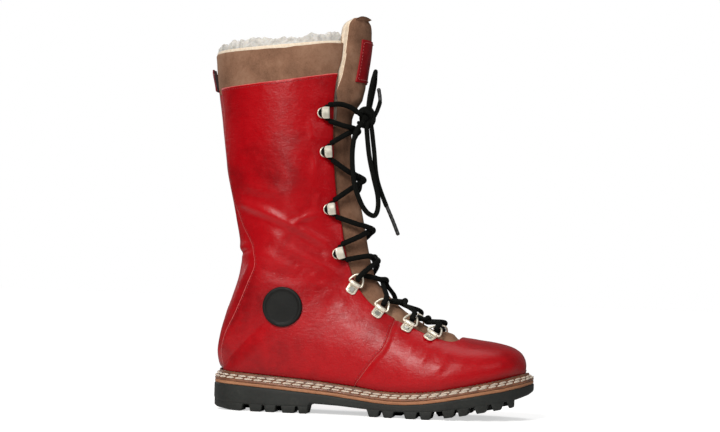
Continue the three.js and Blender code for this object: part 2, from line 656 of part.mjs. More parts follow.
// stiffeners between leather and lining, in outlines that can be grown for clearance
const counterZone = (grow) => prism([
  [-20, 37 - grow], [72 + grow, 33 - grow], [66 + grow, 50], [44 + grow, 72 + grow],
  [20 + grow, 88 + grow], [-20, 90 + grow],
]);
const puffZone = (grow) =>
  prism([[232 - grow, 30 - grow], [300, 44 - grow], [300, 90], [238 - grow, 90]]);
const aboveFeather = above([[-30, 38], ...FEATHER_LINE.slice(1), [320, 46]], 0.8);
const stiffener = volume(STIFF_OUT, 6, 1).subtract(volume(STIFF_IN, 8, 1));
const trimStiffener = (zone) => biggest(stiffener.intersect(zone).intersect(aboveFeather));
add("heel_counter", trimStiffener(counterZone(0)), "board");
add("toe_puff", trimStiffener(puffZone(0)), "board");

// fleece lining, cut back behind the facing so that the tongue lies under the quarters,
// and thinned where it passes the stiffeners
const liningFront = FACING.slice(0, 19).map(([x, z], i) => {
  if (i < 8) return [x - 15, z];
  return i < 11 ? [x - 20, z] : [x - 13, z - 10];
});
const liningCut = prism([
  ...liningFront, [200, 60], [222, 56], [236, 66], [236, 90], [FAR_FRONT, 90],
  [FAR_FRONT, FAR_TOP], [liningFront[0][0], FAR_TOP],
]);
const stiffenerRoom = outer.subtract(volume(STIFF_IN + GAP, 8, 1));
const lining = volume(LINING_OUT, 0, 2).subtract(volume(LINING_IN, 8, 2))
  .subtract(above(RIM, 6))
  .subtract(liningCut)
  .subtract(stiffenerRoom.intersect(counterZone(0.8)))
  .subtract(stiffenerRoom.intersect(puffZone(0.8)))
  .intersect(aboveFeather);
add("shaft_lining", biggest(lining), "fleece");

// ---------------------------------------------------------------- tongue
// It follows the front of the boot, then its free top leans forwards.
// Edge of the tongue: station, turn on the lateral side
const TONGUE_EDGE = [
  [6.6, 0.86], [7, 0.76], [7.6, 0.68], [8.5, 0.645], [9.5, 0.635], [11, 0.615], [12.5, 0.6],
  [14.5, 0.605], [16, 0.63], [18, 0.67], [20, 0.7], [24, 0.7], [27, 0.705], [28.5, 0.73],
  [29.5, 0.775], [30.5, 0.805], [31.5, 0.822], [33, 0.835], [35, 0.84],
];
// Forward lean at the middle and at the edges: z, shift in x
const LEAN_MIDDLE = [
  [0, 0], [255, 0.4], [266, 1.8], [275, 5.0], [283, 9.4], [293, 11.4], [317, 11.8],
  [340, 12], [360, 12.8],
];
const LEAN_EDGE = [[0, 0], [274, 0], [286, 0.8], [303, 3], [335, 3.4], [360, 5]];
const NORMAL_NUDGE = 0.0001; // tips the tongue's normals a hair forwards

// across runs -1 at the lateral edge to 1 at the medial edge
function tonguePoint(station, across, depth) {
  const fraction = 1 - (1 - lookUp(TONGUE_EDGE, station)) * Math.abs(across);
  const turn = across <= 0 ? fraction : 2 - fraction;
  const point = surfacePoint(station, turn);
  const normal = surfaceNormal(station, turn);
  const nearness = Math.min(1, Math.max(0, (fraction - 0.78) / 0.22));
  const weight = nearness * (2 - nearness);
  const lean = lookUp(LEAN_MIDDLE, point.z) * weight + lookUp(LEAN_EDGE, point.z) * (1 - weight);
  normal.x += NORMAL_NUDGE;
  return point.addScaledVector(normal.normalize(), -depth).add(vec(lean, 0, 0));
}

// the same sheet, met at a level height
function levelPoint(z, across, depth) {
  let low = 20;
  let high = 35.6;
  for (let i = 0; i < 40; i++) {
    const middle = (low + high) / 2;
    if (tonguePoint(middle, across, depth).z < z) low = middle;
    else high = middle;
  }
  return tonguePoint((low + high) / 2, across, depth);
}

// a ring across a sheet, out along the outer face and back along the inner one
function sheetRing(pointAt, level, sheet, spread = sheet.spread) {
  const { across, taper, outer, inner } = sheet;
  return [
    ...across.map((v) => pointAt(level, v * spread, outer)),
    ...across.slice().reverse().map((v) => pointAt(level, v * (spread - taper), inner)),
  ];
}

// narrows the sheet round its top corners
function cornerSpread(z, spread) {
  if (z < TONGUE_TOP - TONGUE_CORNER) return spread;
  const rise = (z - TONGUE_TOP + TONGUE_CORNER) / TONGUE_CORNER;
  return spread * (1 - 0.4 * (1 - Math.sqrt(Math.max(0, 1 - Math.pow(rise, 2)))));
}

const TONGUE_STATIONS = [6.75, 7.1, 7.6, 8.5, 10, 11.5, 13, 14.5, 16, 18, 20, 22, 24.5, 26];
const LOWER_LEVELS = [266, 273, TONGUE_SPLIT - 0.2];
const UPPER_LEVELS = [
  TONGUE_SPLIT + 0.2, 284, 289, 296, 305, 317, 330, 339, 344, 347.5, 350.3, 352.2, TONGUE_TOP,
];
// the laced part and the free top meet at a level plane through the bend
const tongueLower = (stations, sheet) => biggest(loft([
  ...stations.map((station) => sheetRing(tonguePoint, station, sheet)),
  ...LOWER_LEVELS.map((z) => sheetRing(levelPoint, z, sheet)),
], "sheet"));
const tongueUpper = (sheet) => biggest(loft(UPPER_LEVELS.map((z) =>
  sheetRing(levelPoint, z, sheet, cornerSpread(z, sheet.spread))), "sheet"));

const TONGUE_ACROSS = [-1, -0.75, -0.5, -0.25, 0, 0.25, 0.5, 0.75, 1];
const FLEECE_OUT = TONGUE_OUT + TONGUE_SUEDE + 3 * GAP;
const suedeSheet = {
  across: TONGUE_ACROSS, spread: 1, taper: 0.015,
  outer: TONGUE_OUT, inner: TONGUE_OUT + TONGUE_SUEDE,
};
const fleeceSheet = {
  across: TONGUE_ACROSS, spread: 0.985, taper: 0.015,
  outer: FLEECE_OUT, inner: FLEECE_OUT + TONGUE_FLEECE,
};
const patchSheet = {
  across: [-0.62, -0.3, 0, 0.3, 0.62], spread: 1, taper: 0,
  outer: TONGUE_OUT - 2.0, inner: TONGUE_OUT - 0.8,
};
add("tongue_lower", tongueLower(TONGUE_STATIONS, suedeSheet), "suede");
add("tongue_lining_lower", tongueLower(TONGUE_STATIONS.slice(3), fleeceSheet), "fleece");
add("tongue_upper", tongueUpper(suedeSheet), "suede");
add("tongue_lining_upper", tongueUpper(fleeceSheet), "fleece");
const patchRings = [298, 305, 313, 321, 329, 337].map((z) =>
  sheetRing(levelPoint, z, patchSheet));
add("tongue_patch", loft(patchRings, "sheet"), "leather");

// ---------------------------------------------------------------- ankle badge, outer side
// Turned profile with a raised border: radius, height
const BADGE_PROFILE = [
  [0, -1.0], [BADGE_R, -1.0], [BADGE_R, 1.0], [BADGE_R - 1.2, 1.7], [BADGE_R - 3, 1.7],
  [BADGE_R - 3.8, 1.1], [0, 1.1],
].map(([radius, height]) => new THREE.Vector2(radius, height));
const BADGE_CENTRE = vec(66.3, -38.9, 94);
const disc = stand(new THREE.LatheGeometry(BADGE_PROFILE, 28), BADGE_CENTRE, vec(0, -1, 0));
add("ankle_badge", biggest(disc.subtract(volume(-0.3, 0, 12))), "badge");

// ---------------------------------------------------------------- speed hooks
// Base plate, spine on the throat side, blade folded back over the lace: across, out
const HOOK_PROFILE = [
  [-4.6, 0.5], [3.4, 0.5], [4.2, 1.2], [4.2, 6.7], [3.4, 7.4], [-3.4, 7.4], [-3.9, 6.9],
  [-3.4, 6.5], [2.8, 6.5], [3.3, 6.1], [3.3, 1.7], [2.9, 1.3], [-4.6, 1.3],
];
for (const hook of hooks) {
  const shank = rod(1.45, -1.9, 0.9, hook.origin, hook.out, 6);
  const body = fittingExtrusion(HOOK_PROFILE, HOOK_WIDTH, hook).add(shank);
  add("hook_" + hook.name, biggest(body), "hardware");
}

// ---------------------------------------------------------------- D-rings
// points of an arc round the bar, in (across, out)
function barArc(radius, from, to) {
  const steps = 5;
  return Array.from({ length: steps + 1 }, (_, i) => {
    const angle = radians(from + ((to - from) * i) / steps);
    return [radius * Math.cos(angle), BAR_HEIGHT + radius * Math.sin(angle)];
  });
}
// Plate: a strip folded round the bar, its leaves running back from it
const PLATE_TAIL = -9.6;
const PLATE_OUTER_R = 2.1;
const PLATE_INNER_R = 1.35;
const PLATE_PROFILE = [
  [PLATE_TAIL, BAR_HEIGHT - PLATE_OUTER_R],
  ...barArc(PLATE_OUTER_R, -90, 90),
  [PLATE_TAIL, BAR_HEIGHT + 0.2],
  [PLATE_TAIL, BAR_HEIGHT - 0.5],
  ...barArc(PLATE_INNER_R, 90, -90),
  [PLATE_TAIL, BAR_HEIGHT - PLATE_INNER_R],
];
// Wire loop of the D: distance along the bar, distance out from it
const BAR_HALF = BAR_LENGTH / 2 - WIRE_R;
const RING_LOOP = [
  [-BAR_HALF * 0.5, 0], [BAR_HALF * 0.5, 0], [BAR_HALF - 0.2, 0], [BAR_HALF + 0.9, 0.9],
  [BAR_HALF + 0.9, 2.4], [BAR_HALF * 0.78, 7], [BAR_HALF * 0.35, 8.8],
  [-BAR_HALF * 0.35, 8.8], [-BAR_HALF * 0.78, 7], [-BAR_HALF - 0.9, 2.4],
  [-BAR_HALF - 0.9, 0.9], [-BAR_HALF + 0.2, 0],
];
for (const ring of rings) {
  const { name, rivet, out, bar, along, reach } = ring;
  const rivetHole = rod(1.6, -1, BAR_HEIGHT - 0.6, rivet, out, 6);
  const plate = fittingExtrusion(PLATE_PROFILE, 9.5, ring).subtract(rivetHole);
  add("ring_plate_" + name, biggest(plate), "hardware");

  const rivetShank = rod(1.15, -1.9, BAR_HEIGHT - 0.95, rivet, out, 6);
  const rivetHead = rod(2.2, BAR_HEIGHT - 1.02, BAR_HEIGHT - 0.72, rivet, out, 8);
  add("ring_rivet_" + name, rivetShank.add(rivetHead), "steel");

  const loop = RING_LOOP.map(([x, y]) =>
    bar.clone().addScaledVector(along, x).addScaledVector(reach, y));
  add("d_ring_" + name, tube(loop, WIRE_R, 16, 5, true), "hardware");
}

// ---------------------------------------------------------------- lace
// Crossed over the tongue between rings and hooks, run through the hooks, knotted at the top.
const eyesOn = (side) => [...hooks, ...rings].filter((eye) => eye.side === side);
const [lateralEyes, medialEyes] = SIDES.map(eyesOn);
const LOWEST = lateralEyes.length - 1;

// where the lace runs: shift < 0 below a hook or under a ring, shift > 0 above or over it
function seat(eye, shift) {
  if (eye.isHook) {
    return eye.origin.clone().addScaledVector(eye.out, 3.9)
      .addScaledVector(eye.across, -0.9).addScaledVector(eye.along, shift);
  }
  return eye.bar.clone().addScaledVector(eye.reach, 4.9).addScaledVector(eye.face, shift);
}
// past the tip of a D-ring, over it or under it
const tipOver = (ring) =>
  ring.bar.clone().addScaledVector(ring.reach, 9.2).addScaledVector(ring.face, 4.7);
const tipUnder = (ring) =>
  ring.bar.clone().addScaledVector(ring.reach, 8.6).addScaledVector(ring.face, -4.6);

// a point over the tongue, moved forwards with its lean
function overTongue(station, turn, height) {
  const weight = Math.max(0, 1 - Math.pow(Math.abs(turn - 1) / 0.3, 2));
  const lean = lookUp(LEAN_MIDDLE, surfacePoint(station, turn).z) * weight;
  return offsetPoint(station, turn, height).add(vec(lean, 0, 0));
}

// from an eye to the next higher eye on the other side, over or under the crossing strand
function strand(low, high, isOver) {
  let fractions = [0.38, 0.5, 0.62];
  if (low.isHook) fractions = [0.22, 0.36, 0.5, 0.64, 0.78];
  else if (high.isHook) fractions = [0.36, 0.5, 0.64, 0.75];
  const start = low.station + (low.isHook ? 0.75 : 0.3);
  const end = high.station - (high.isHook ? 0.95 : 0.3);
  const middle = fractions.map((f) => {
    const turn = low.turn + (high.turn - low.turn) * f;
    let height = isOver ? 2.4 : 0.7;
    if (f === 0.5) height = isOver ? 4.6 : 0.1;
    else if ((turn < 1 ? turn : 2 - turn) < 0.885) height = 3.7;
    return overTongue(start + (end - start) * f, turn, height);
  });
  const points = [
    ...(low.isHook ? [seat(low, 8)] : [seat(low, 0), seat(low, 3), tipOver(low)]),
    ...middle,
    ...(high.isHook ? [seat(high, -9.4)] : [tipUnder(high), seat(high, -3), seat(high, 0)]),
  ];
  return tube(points, LACE_R, low.isHook && high.isHook ? 7 : 9, LACE_SIDES);
}

const KNOT = vec(130, -3, 267.5);
const knotGeometry = new THREE.SphereGeometry(1, 8, 6).applyMatrix4(
  new THREE.Matrix4().compose(KNOT, new THREE.Quaternion(), vec(5.0, 6.8, 5.4)),
);
const laceParts = [solid(knotGeometry)];
for (let i = LOWEST; i > 0; i--) {
  laceParts.push(strand(lateralEyes[i], medialEyes[i - 1], i % 2 === 0));
  laceParts.push(strand(medialEyes[i], lateralEyes[i - 1], i % 2 === 1));
}
for (const hook of hooks) {
  laceParts.push(tube([seat(hook, -10), seat(hook, 8.6)], LACE_R, 1, LACE_SIDES));
}
// bottom bar between the two lowest rings
const [lowLateral, lowMedial] = [lateralEyes[LOWEST], medialEyes[LOWEST]];
laceParts.push(tube([
  seat(lowLateral, 0), seat(lowLateral, -3), tipUnder(lowLateral),
  offsetPoint(lowLateral.station, 1, 0.2),
  tipUnder(lowMedial), seat(lowMedial, -3), seat(lowMedial, 0),
], LACE_R, 10, LACE_SIDES));
// from the top hooks to the knot
for (const hook of [lateralEyes[0], medialEyes[0]]) {
  const { side } = hook;
  laceParts.push(tube([
    seat(hook, 8), vec(111.5, side * 30, 277), vec(119.5, side * 20.5, 274.5),
    vec(125.5, side * 11, 270.5), KNOT.clone().add(vec(0, side * 1.5, 0)),
  ], LACE_R, 7, LACE_SIDES));
}
add("lace", biggest(union(laceParts)).simplify(0.12), "lace");

// bow loops and lace ends, through points of x, y, z
const toPath = (rows) => rows.map((row) => vec(...row));
const addCord = (name, steps, rows) =>
  add(name, tube(toPath(rows), LACE_R, steps, LACE_SIDES), "lace");
const addAglet = (name, rows) => add(name, tube(toPath(rows), AGLET_R, 2, 6), "badge");
addCord("bow_loop_upper", 14, [
  [132.6, -5.5, 275.6], [134, -8.5, 286], [136.6, -8.5, 301], [137.6, -3, 311.5],
  [137.2, 3, 302], [134.8, 3.2, 287], [133.2, 0.2, 276],
]);
addCord("lace_end_upper", 4, [[137.4, -1.5, 268.5], [139.6, 0.5, 273], [142.2, 1.5, 281.5]]);
addAglet("aglet_upper", [[142.4, 1.6, 283.4], [141.8, 1.8, 289], [140.6, 1.8, 294.5]]);
addCord("bow_loop_lower", 24, [
  [128.4, -10.8, 261], [124.6, -17, 253], [122.3, -23, 230], [125.2, -25, 195],
  [133.8, -22, 168], [142.4, -16, 159.8], [148.7, -11, 167], [149.3, -8.5, 180],
  [143.4, -7.5, 202], [138, -7.5, 225], [134.9, -7, 248], [133.6, -6.5, 259.5],
]);
addCord("lace_end_lower", 9, [
  [134.2, -0.6, 260], [136, -0.2, 240], [140.4, 0.4, 211.5], [151, 1, 189],
]);
addAglet("aglet_lower", [[151.9, 1, 187.4], [157.6, 1.2, 175], [163.2, 1.4, 161.8]]);

export default group;
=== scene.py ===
# Looks of a tall laced winter boot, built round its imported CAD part. Lengths are drawn in millimetres from the back
# of the sole and turned into metres in the row frame when a mesh is made.
import bpy
import math
import numpy as np
from mathutils import Matrix, Vector


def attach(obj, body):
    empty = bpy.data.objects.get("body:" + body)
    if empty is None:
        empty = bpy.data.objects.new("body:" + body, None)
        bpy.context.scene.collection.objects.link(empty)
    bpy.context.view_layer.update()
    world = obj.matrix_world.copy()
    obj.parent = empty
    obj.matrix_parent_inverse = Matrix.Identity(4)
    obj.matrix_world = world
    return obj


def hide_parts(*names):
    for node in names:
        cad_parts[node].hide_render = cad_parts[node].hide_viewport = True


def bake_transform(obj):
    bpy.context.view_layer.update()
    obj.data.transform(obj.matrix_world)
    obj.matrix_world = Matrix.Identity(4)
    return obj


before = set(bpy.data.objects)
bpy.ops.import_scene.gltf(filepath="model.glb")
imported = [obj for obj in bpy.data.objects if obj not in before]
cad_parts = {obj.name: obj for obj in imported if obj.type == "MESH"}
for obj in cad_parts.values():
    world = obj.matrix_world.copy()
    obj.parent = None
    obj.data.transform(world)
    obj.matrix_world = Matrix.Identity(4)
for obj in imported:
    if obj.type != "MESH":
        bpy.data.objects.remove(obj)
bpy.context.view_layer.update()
OX = 57.0
rng = np.random.default_rng(11)

# ------------------------------------------------------------------ tables
OUTLINE = [(0,0,0),(1.2,11,11),(4,18.5,18.5),(10,26,25.5),(20,32,31),(40,36.4,35),(60,37.9,35.5),(80,38,34),(100,38.4,32),(120,40,31),
 (140,42.9,32.5),(160,47,36),(180,51,41),(200,52.9,45.5),(215,52.9,47.5),(230,50.4,48),(245,45.9,46.5),(260,38.5,43),
 (272,29,37),(281,18,29.5),(286.5,6,20),(289,-8,8)]
S_ST = [(280.3,41.3),(278.5,40.9),(274,39.6),(266,37.4),(255,34.6),(241,31.4),(226,28.4),(210,25.2),(193,23),(175,22.2),(156,22.8),(137,25.2),(117,27.3),(96,29.4),(75,31),(55,32.3),(36,33.5),(20,34.4),(9.5,35.4),(4.4,36.8),(1.7,44),(0.8,54),(2.7,67),(7.2,84),(13.2,102),(18.4,119),(20,136),(18,154),(13.5,173),(8,194),(3.2,216),(0,240),(-3.4,268),(-7.6,296),(-10.8,326),(-12.9,348)]
E_ST = [(281.5,45),(281.6,49.5),(280,55),(276,60.2),(267.5,64.8),(252,68.3),(236,70.4),(219.5,73),(204,78),(190,85.2),(176.5,93.7),(166,102.2),(157.5,110.5),(150,118.8),(145.2,127),(142.5,135.5),(140.5,143.5),(138.6,152),(136.8,161),(134.8,170.5),(132.5,181),(129.8,192),(127.4,203),(125,214.5),(122.9,226),(121.2,238),(119.9,250),(119.2,261),(119.2,271),(119.6,281),(120.2,291),(121,301),(122,311),(123,321),(124,333),(125,355)]
W_ST = [3.2,14,22.8,31.6,39,43.8,46.2,46.8,45.9,43.4,40.4,38.4,37.5,37.2,37.2,37.4,37.6,37.7,37.8,38,38.4,39,39.8,40.8,42,43.2,44.4,45.4,46.3,47.2,48.2,49.2,50.2,51,51.6,52.4]
P_ST = [1,.85,.78,.75,.75,.76,.78,.8,.82,.86,.9,.93,.95,.96,.97] + [.98]*21
YE_ST = [7.4,7.2,6.8,6,5,3.8,2.6,1.4,.6] + [0]*27
WS_ST = [11.89,15.98,22.52,29.76,36.16,40.81,43.39,43.86,41.95,38.59,34.34,31.01,29.13,29.08,30.01,30.44,28.83,24.86,15.6] + [1]*17
YC_ST = [6.9,6.38,5.25,3.63,1.9,.02,-1.55,-3.09,-4.26,-5.25,-5.49,-5.1,-4.32,-2.96,-1.78,-1.04,-.63,-.46] + [0]*18
WW_ST = [max(w, s*1.01) for w, s in zip(W_ST, WS_ST)]
Z_RUBBER = [(0,24.2),(20,23.2),(40,22),(60,20.8),(83,19.1),(110,17),(132,14.6),(150,12.6),(165,11.7),(180,11.9),(195,13.3),(210,15.6),(228,19),(245,22.5),(265,26.3),(280,30),(289,33)]
Z_BASE = [(0,10.5),(6,8.2),(20,6.6),(40,6),(91.5,6),(93.5,9.3),(120,8.2),(145,6.4),(165,5.6),(185,5.8),(200,6.6),(215,8.2),(230,10.4),(246,13.3),(260,16),(275,19.2),(285,23),(289,26)]
Z_TREAD = [(0,5),(6,2.6),(20,.5),(32,0),(200,0),(212,1.6),(225,3.4),(241,6.3),(256,9.2),(272,12.2),(283,16.4),(289,20)]
Z_FEATHER = [(0,37.2),(4.4,36.8),(9.5,35.4),(20,34.4),(36,33.5),(55,32.3),(75,31),(96,29.4),(117,27.3),(137,25.2),(156,22.8),(175,22.2),(193,23),(210,25.2),(226,28.4),(241,31.4),(255,34.6),(266,37.4),(274,39.6),(280,41.3),(289,42.5)]
RIM = [(-30,320.5),(-2.8,322),(20.2,322.9),(38.4,324),(55.7,325.4),(76.4,327.8),(93.1,330.4),(107.1,332.4),(140,334.5)]
COLLAR_SEAM = [(-30,289),(0,289.8),(21.3,291),(41.1,293),(59.5,295.2),(76.8,298),(93.9,301.3),(106.7,304),(140,309)]
FACING = [(113.9,360),(113.2,335),(111.8,316.5),(108.5,302.9),(106.3,284.5),(105.9,266.5),(106.5,244.1),(108,217.5),(111.1,190.8),(115.8,168.7),(119.7,146.3),(124.9,128.8),(130.8,115.7),(141.5,102.5),(150.4,95.9),(161.4,90.1),(172.2,84.1),(184.5,79),(193.2,75.2),(205.1,71.2),(215.4,68.9),(221.7,70.2),(224.5,74),(226,82)]
VAMP_SEAM = [(172,110),(166.2,85.7),(159.1,62),(150,50.2),(138.5,34.3),(133.6,27),(128,10)]
BACK_SEAM = [(-1.7,330),(-1.7,290),(1.8,266.9),(4.2,232.7),(7.5,215),(12.2,191.8),(20.6,171.4),(31.4,153.5),(36,144.9),(37.8,133.2),(36.4,124.7),(29.7,108.4),(21.3,89.1),(12.1,72.2),(7.2,59.1),(6.4,48.7),(8.4,35.5),(9.5,10)]
HOOKS = [(29.35,.7),(26.45,.704),(22.35,.716),(18.5,.708)]
RINGS = [(14.75,.652),(11.8,.655),(9.65,.692),(8.2,.716)]
HOOK_TILT = [3,5,8,17]
RING_TILT = [31,31,25,29]
BAR_N, BAR_LEN, WIRE_R = 2.55, 12.4, .9
TQ = [(6.6,.86),(7,.76),(7.6,.68),(8.5,.645),(9.5,.635),(11,.615),(12.5,.6),(14.5,.605),(16,.63),(18,.67),(20,.7),(24,.7),(27,.705),(28.5,.72),(29.5,.75),(30.5,.772),(31.5,.785),(33,.795),(35,.80)]
LEAN_MID = [(0,0),(255,.4),(266,1.8),(275,5),(283,9.4),(293,11.4),(317,11.8),(336,12),(346,11.4),(352,10.4),(357,8.8),(362,7)]
LEAN_EDGE = [(0,0),(274,0),(286,.8),(303,3),(335,3.4),(360,5)]
KNOT = np.array([130.0,-3.0,267.5])
INSET = 6.2

# ------------------------------------------------------------------ small maths
def lin(tab, x):
    tab = np.asarray(tab, float)
    return np.interp(x, tab[:, 0], tab[:, 1])

def crom(tab, u):
    tab = np.asarray(tab, float); n = len(tab)
    u = np.clip(np.asarray(u, float), 0, n-1); i = np.minimum(np.floor(u).astype(int), n-2); f = u-i
    if tab.ndim > 1: f = f[..., None]
    p1 = tab[i]; p2 = tab[i+1]
    a = (i > 0)[..., None] if tab.ndim > 1 else i > 0
    b = (i < n-2)[..., None] if tab.ndim > 1 else i < n-2
    p0 = np.where(a, tab[np.maximum(i-1, 0)], 2*p1-p2); p3 = np.where(b, tab[np.minimum(i+2, n-1)], 2*p2-p1)
    return .5*((2*p1)+(-p0+p2)*f+(2*p0-5*p1+4*p2-p3)*f*f+(-p0+3*p1-3*p2+p3)*f**3)

def unit(v):
    v = np.asarray(v, float)
    return v/(np.linalg.norm(v, axis=-1, keepdims=True)+1e-12)

def smooth(a, b, x):
    k = np.clip((x-a)/(b-a), 0, 1)
    return k*k*(3-2*k)

def surf0(t, r):
    t, r = np.broadcast_arrays(np.asarray(t, float), np.asarray(r, float))
    side = np.where(r <= 1, -1.0, 1.0); q = np.maximum(0, np.where(r <= 1, r, 2-r))
    S = crom(S_ST, t); E = crom(E_ST, t); w = np.maximum(crom(WS_ST, t), .8); W = np.maximum(crom(WW_ST, t), w*1.005)
    p = crom(P_ST, t); yc = crom(YC_ST, t); ye = crom(YE_ST, t)
    th0 = np.arcsin(np.clip(w/W, 0, .995)); th = th0+(math.pi-th0)*q
    s = (np.cos(th0)-np.cos(th))/(1+np.cos(th0)); sn = np.clip(np.sin(th), 0, 1)
    y = W*np.where(th < math.pi/2, sn, sn**p); c = yc+(ye-yc)*s
    P = S+(E-S)*s[..., None]
    return np.stack([P[..., 0], c+side*y, P[..., 1]], -1)

def surf(t, r):
    # below station 0 the toe closes to a point
    t = np.asarray(t, float); P = surf0(np.clip(t, 0, 35), r); P = P+(P-surf0(34.8, r))*(np.maximum(t-35, 0)/.2)[..., None]; k = np.clip(-t, 0, 1)[..., None]
    k = np.broadcast_to(k, P.shape[:-1]+(1,))
    return P+(np.array([280.9, 7.4, 43.2])-P)*k+np.array([1.0, 0, 0])*np.sqrt(np.clip(1-(1-k)**2, 0, 1))*.9

def normal(t, r):
    t, r = np.broadcast_arrays(np.asarray(t, float), np.asarray(r, float))
    dt, dr = .03, .006
    a = surf0(np.minimum(35, t+dt), r)-surf0(np.clip(t-dt, 0, 35), r)
    b = surf0(np.maximum(t, 0), np.minimum(2, r+dr))-surf0(np.maximum(t, 0), np.maximum(0, r-dr))
    n = unit(np.cross(b, a)); S = crom(S_ST, t); E = crom(E_ST, t)
    c = np.stack([(S[..., 0]+E[..., 0])/2, 0*t, (S[..., 1]+E[..., 1])/2], -1)
    n = np.where((np.sum(n*(surf(t, r)-c), -1) < 0)[..., None], -n, n)
    k = np.clip(-t, 0, 1)[..., None]
    return unit(n*(1-k)+np.array([1.0, 0, 0])*k)

def at(t, r, h):
    return surf(t, r)+normal(t, r)*np.asarray(h, float)[..., None] if np.ndim(h) else surf(t, r)+normal(t, r)*h

def dense(line, k=5):
    u = np.linspace(0, len(line)-1, (len(line)-1)*k+1)
    return crom(line, u)

def dist2(P, line):
    """distance of the points (n, 2) to a polyline"""
    out = np.full(len(P), 1e9); A = line[:-1]; B = line[1:]
    for a, b in zip(A, B):
        d = b-a; L = d@d
        k = np.clip(((P-a)@d)/(L+1e-12), 0, 1)
        out = np.minimum(out, np.hypot(*(P-a-k[:, None]*d).T))
    return out

D_BACK, D_VAMP, D_FACE = dense(BACK_SEAM), dense(VAMP_SEAM, 8), dense(FACING, 4)
D_RIM, D_COL = dense(RIM), dense(COLLAR_SEAM)
OPEN = np.vstack([D_FACE, [(320, 82), (320, 420), (113.9, 420)]])

def inside(P, poly):
    x, y = P.T; res = np.zeros(len(P), bool); q = np.roll(poly, -1, 0)
    for (x0, y0), (x1, y1) in zip(poly, q):
        if y0 == y1: continue
        c = ((y0 > y) != (y1 > y)) & (x < (x1-x0)*(y-y0)/(y1-y0)+x0)
        res ^= c
    return res

def xz(P): return P[:, [0, 2]]
def f_back(P):   # positive in front of the back seam
    p = xz(P); s = np.interp(-p[:, 1], -D_BACK[:, 1], D_BACK[:, 0]); return np.where(p[:, 0] > s, 1, -1)*dist2(p, D_BACK)
def f_vamp(P):   # positive behind the vamp seam
    p = xz(P); s = np.interp(-p[:, 1], -D_VAMP[:, 1], D_VAMP[:, 0]); return np.where(p[:, 0] < s, 1, -1)*dist2(p, D_VAMP)
def f_face(P):   # positive on the leather, negative in the throat
    p = xz(P); return np.where(inside(p, OPEN), -1, 1)*dist2(p, D_FACE)
def f_rim(P):    # positive below the rim
    p = xz(P); return np.where(p[:, 1] < np.interp(p[:, 0], D_RIM[:, 0], D_RIM[:, 1]), 1, -1)*dist2(p, D_RIM)
def f_col(P):    # positive below the collar seam
    p = xz(P); return np.where(p[:, 1] < np.interp(p[:, 0], D_COL[:, 0], D_COL[:, 1]), 1, -1)*dist2(p, D_COL)

# ------------------------------------------------------------------ noise
def _hash(i, j, k, seed):
    h = (i.astype(np.int64)*73856093) ^ (j.astype(np.int64)*19349663) ^ (k.astype(np.int64)*83492791) ^ (seed*2654435761)
    h = (h ^ (h >> 13))*1274126177 & 0xffffffff
    h = (h ^ (h >> 16))*2246822519 & 0xffffffff
    return ((h ^ (h >> 15)) & 0xffffff)/float(0xffffff)

def vnoise(P, size, seed=0):
    p = P/size; i = np.floor(p).astype(np.int64); f = p-i; f = f*f*(3-2*f); out = 0
    for a in (0, 1):
        for b in (0, 1):
            for c in (0, 1):
                w = (f[:, 0] if a else 1-f[:, 0])*(f[:, 1] if b else 1-f[:, 1])*(f[:, 2] if c else 1-f[:, 2])
                out = out+w*_hash(i[:, 0]+a, i[:, 1]+b, i[:, 2]+c, seed)
    return out*2-1

def fbm(P, size, octaves=3, seed=0):
    out, amp, tot = 0, 1.0, 0
    for o in range(octaves):
        out = out+amp*vnoise(P, size/2**o, seed+o*17); tot += amp; amp *= .5
    return out/tot

def worley(P, size, seed=0):
    p = P/size; i = np.floor(p).astype(np.int64); best = np.full(len(P), 9.0)
    for a in (-1, 0, 1):
        for b in (-1, 0, 1):
            for c in (-1, 0, 1):
                I = i[:, 0]+a; J = i[:, 1]+b; K = i[:, 2]+c
                q = np.stack([I+_hash(I, J, K, seed), J+_hash(I, J, K, seed+5), K+_hash(I, J, K, seed+9)], -1)
                best = np.minimum(best, np.sum((p-q)**2, -1))
    return np.sqrt(best)

# ------------------------------------------------------------------ mesh making
def make(name, V, faces, mats, mi=None, uv=None, smooth_shade=True, attrs=None, raw=False):
    """faces: list of index arrays (k, 3) and (k, 4), or lists of polygons"""
    V = np.asarray(V, float)
    if not raw: V = (V-np.array([OX, 0, 0]))*.001
    me = bpy.data.meshes.new(name); loops, starts, n = [], [], 0
    for F in faces:
        if isinstance(F, np.ndarray):
            if not len(F): continue
            loops.append(F.ravel()); starts.append(n+np.arange(len(F))*F.shape[1]); n += F.size
        else:
            for f in F:
                loops.append(np.asarray(f)); starts.append(np.array([n])); n += len(f)
    loops = np.concatenate(loops).astype(np.int32); starts = np.concatenate(starts).astype(np.int32)
    me.vertices.add(len(V)); me.vertices.foreach_set("co", V.astype(np.float32).ravel())
    me.loops.add(len(loops)); me.loops.foreach_set("vertex_index", loops)
    me.polygons.add(len(starts)); me.polygons.foreach_set("loop_start", starts)
    me.polygons.foreach_set("use_smooth", np.full(len(starts), smooth_shade))
    for m in mats: me.materials.append(m)
    if mi is not None: me.polygons.foreach_set("material_index", np.asarray(mi, np.int32))
    me.update(calc_edges=True)
    if uv is not None:
        l = me.uv_layers.new(name="UVMap"); l.data.foreach_set("uv", np.asarray(uv, np.float32)[loops].ravel())
    for k, v in (attrs or {}).items():
        a = me.attributes.new(k, "FLOAT", "POINT"); a.data.foreach_set("value", np.asarray(v, np.float32))
    me.validate()
    o = bpy.data.objects.new(name, me); bpy.context.scene.collection.objects.link(o)
    return o

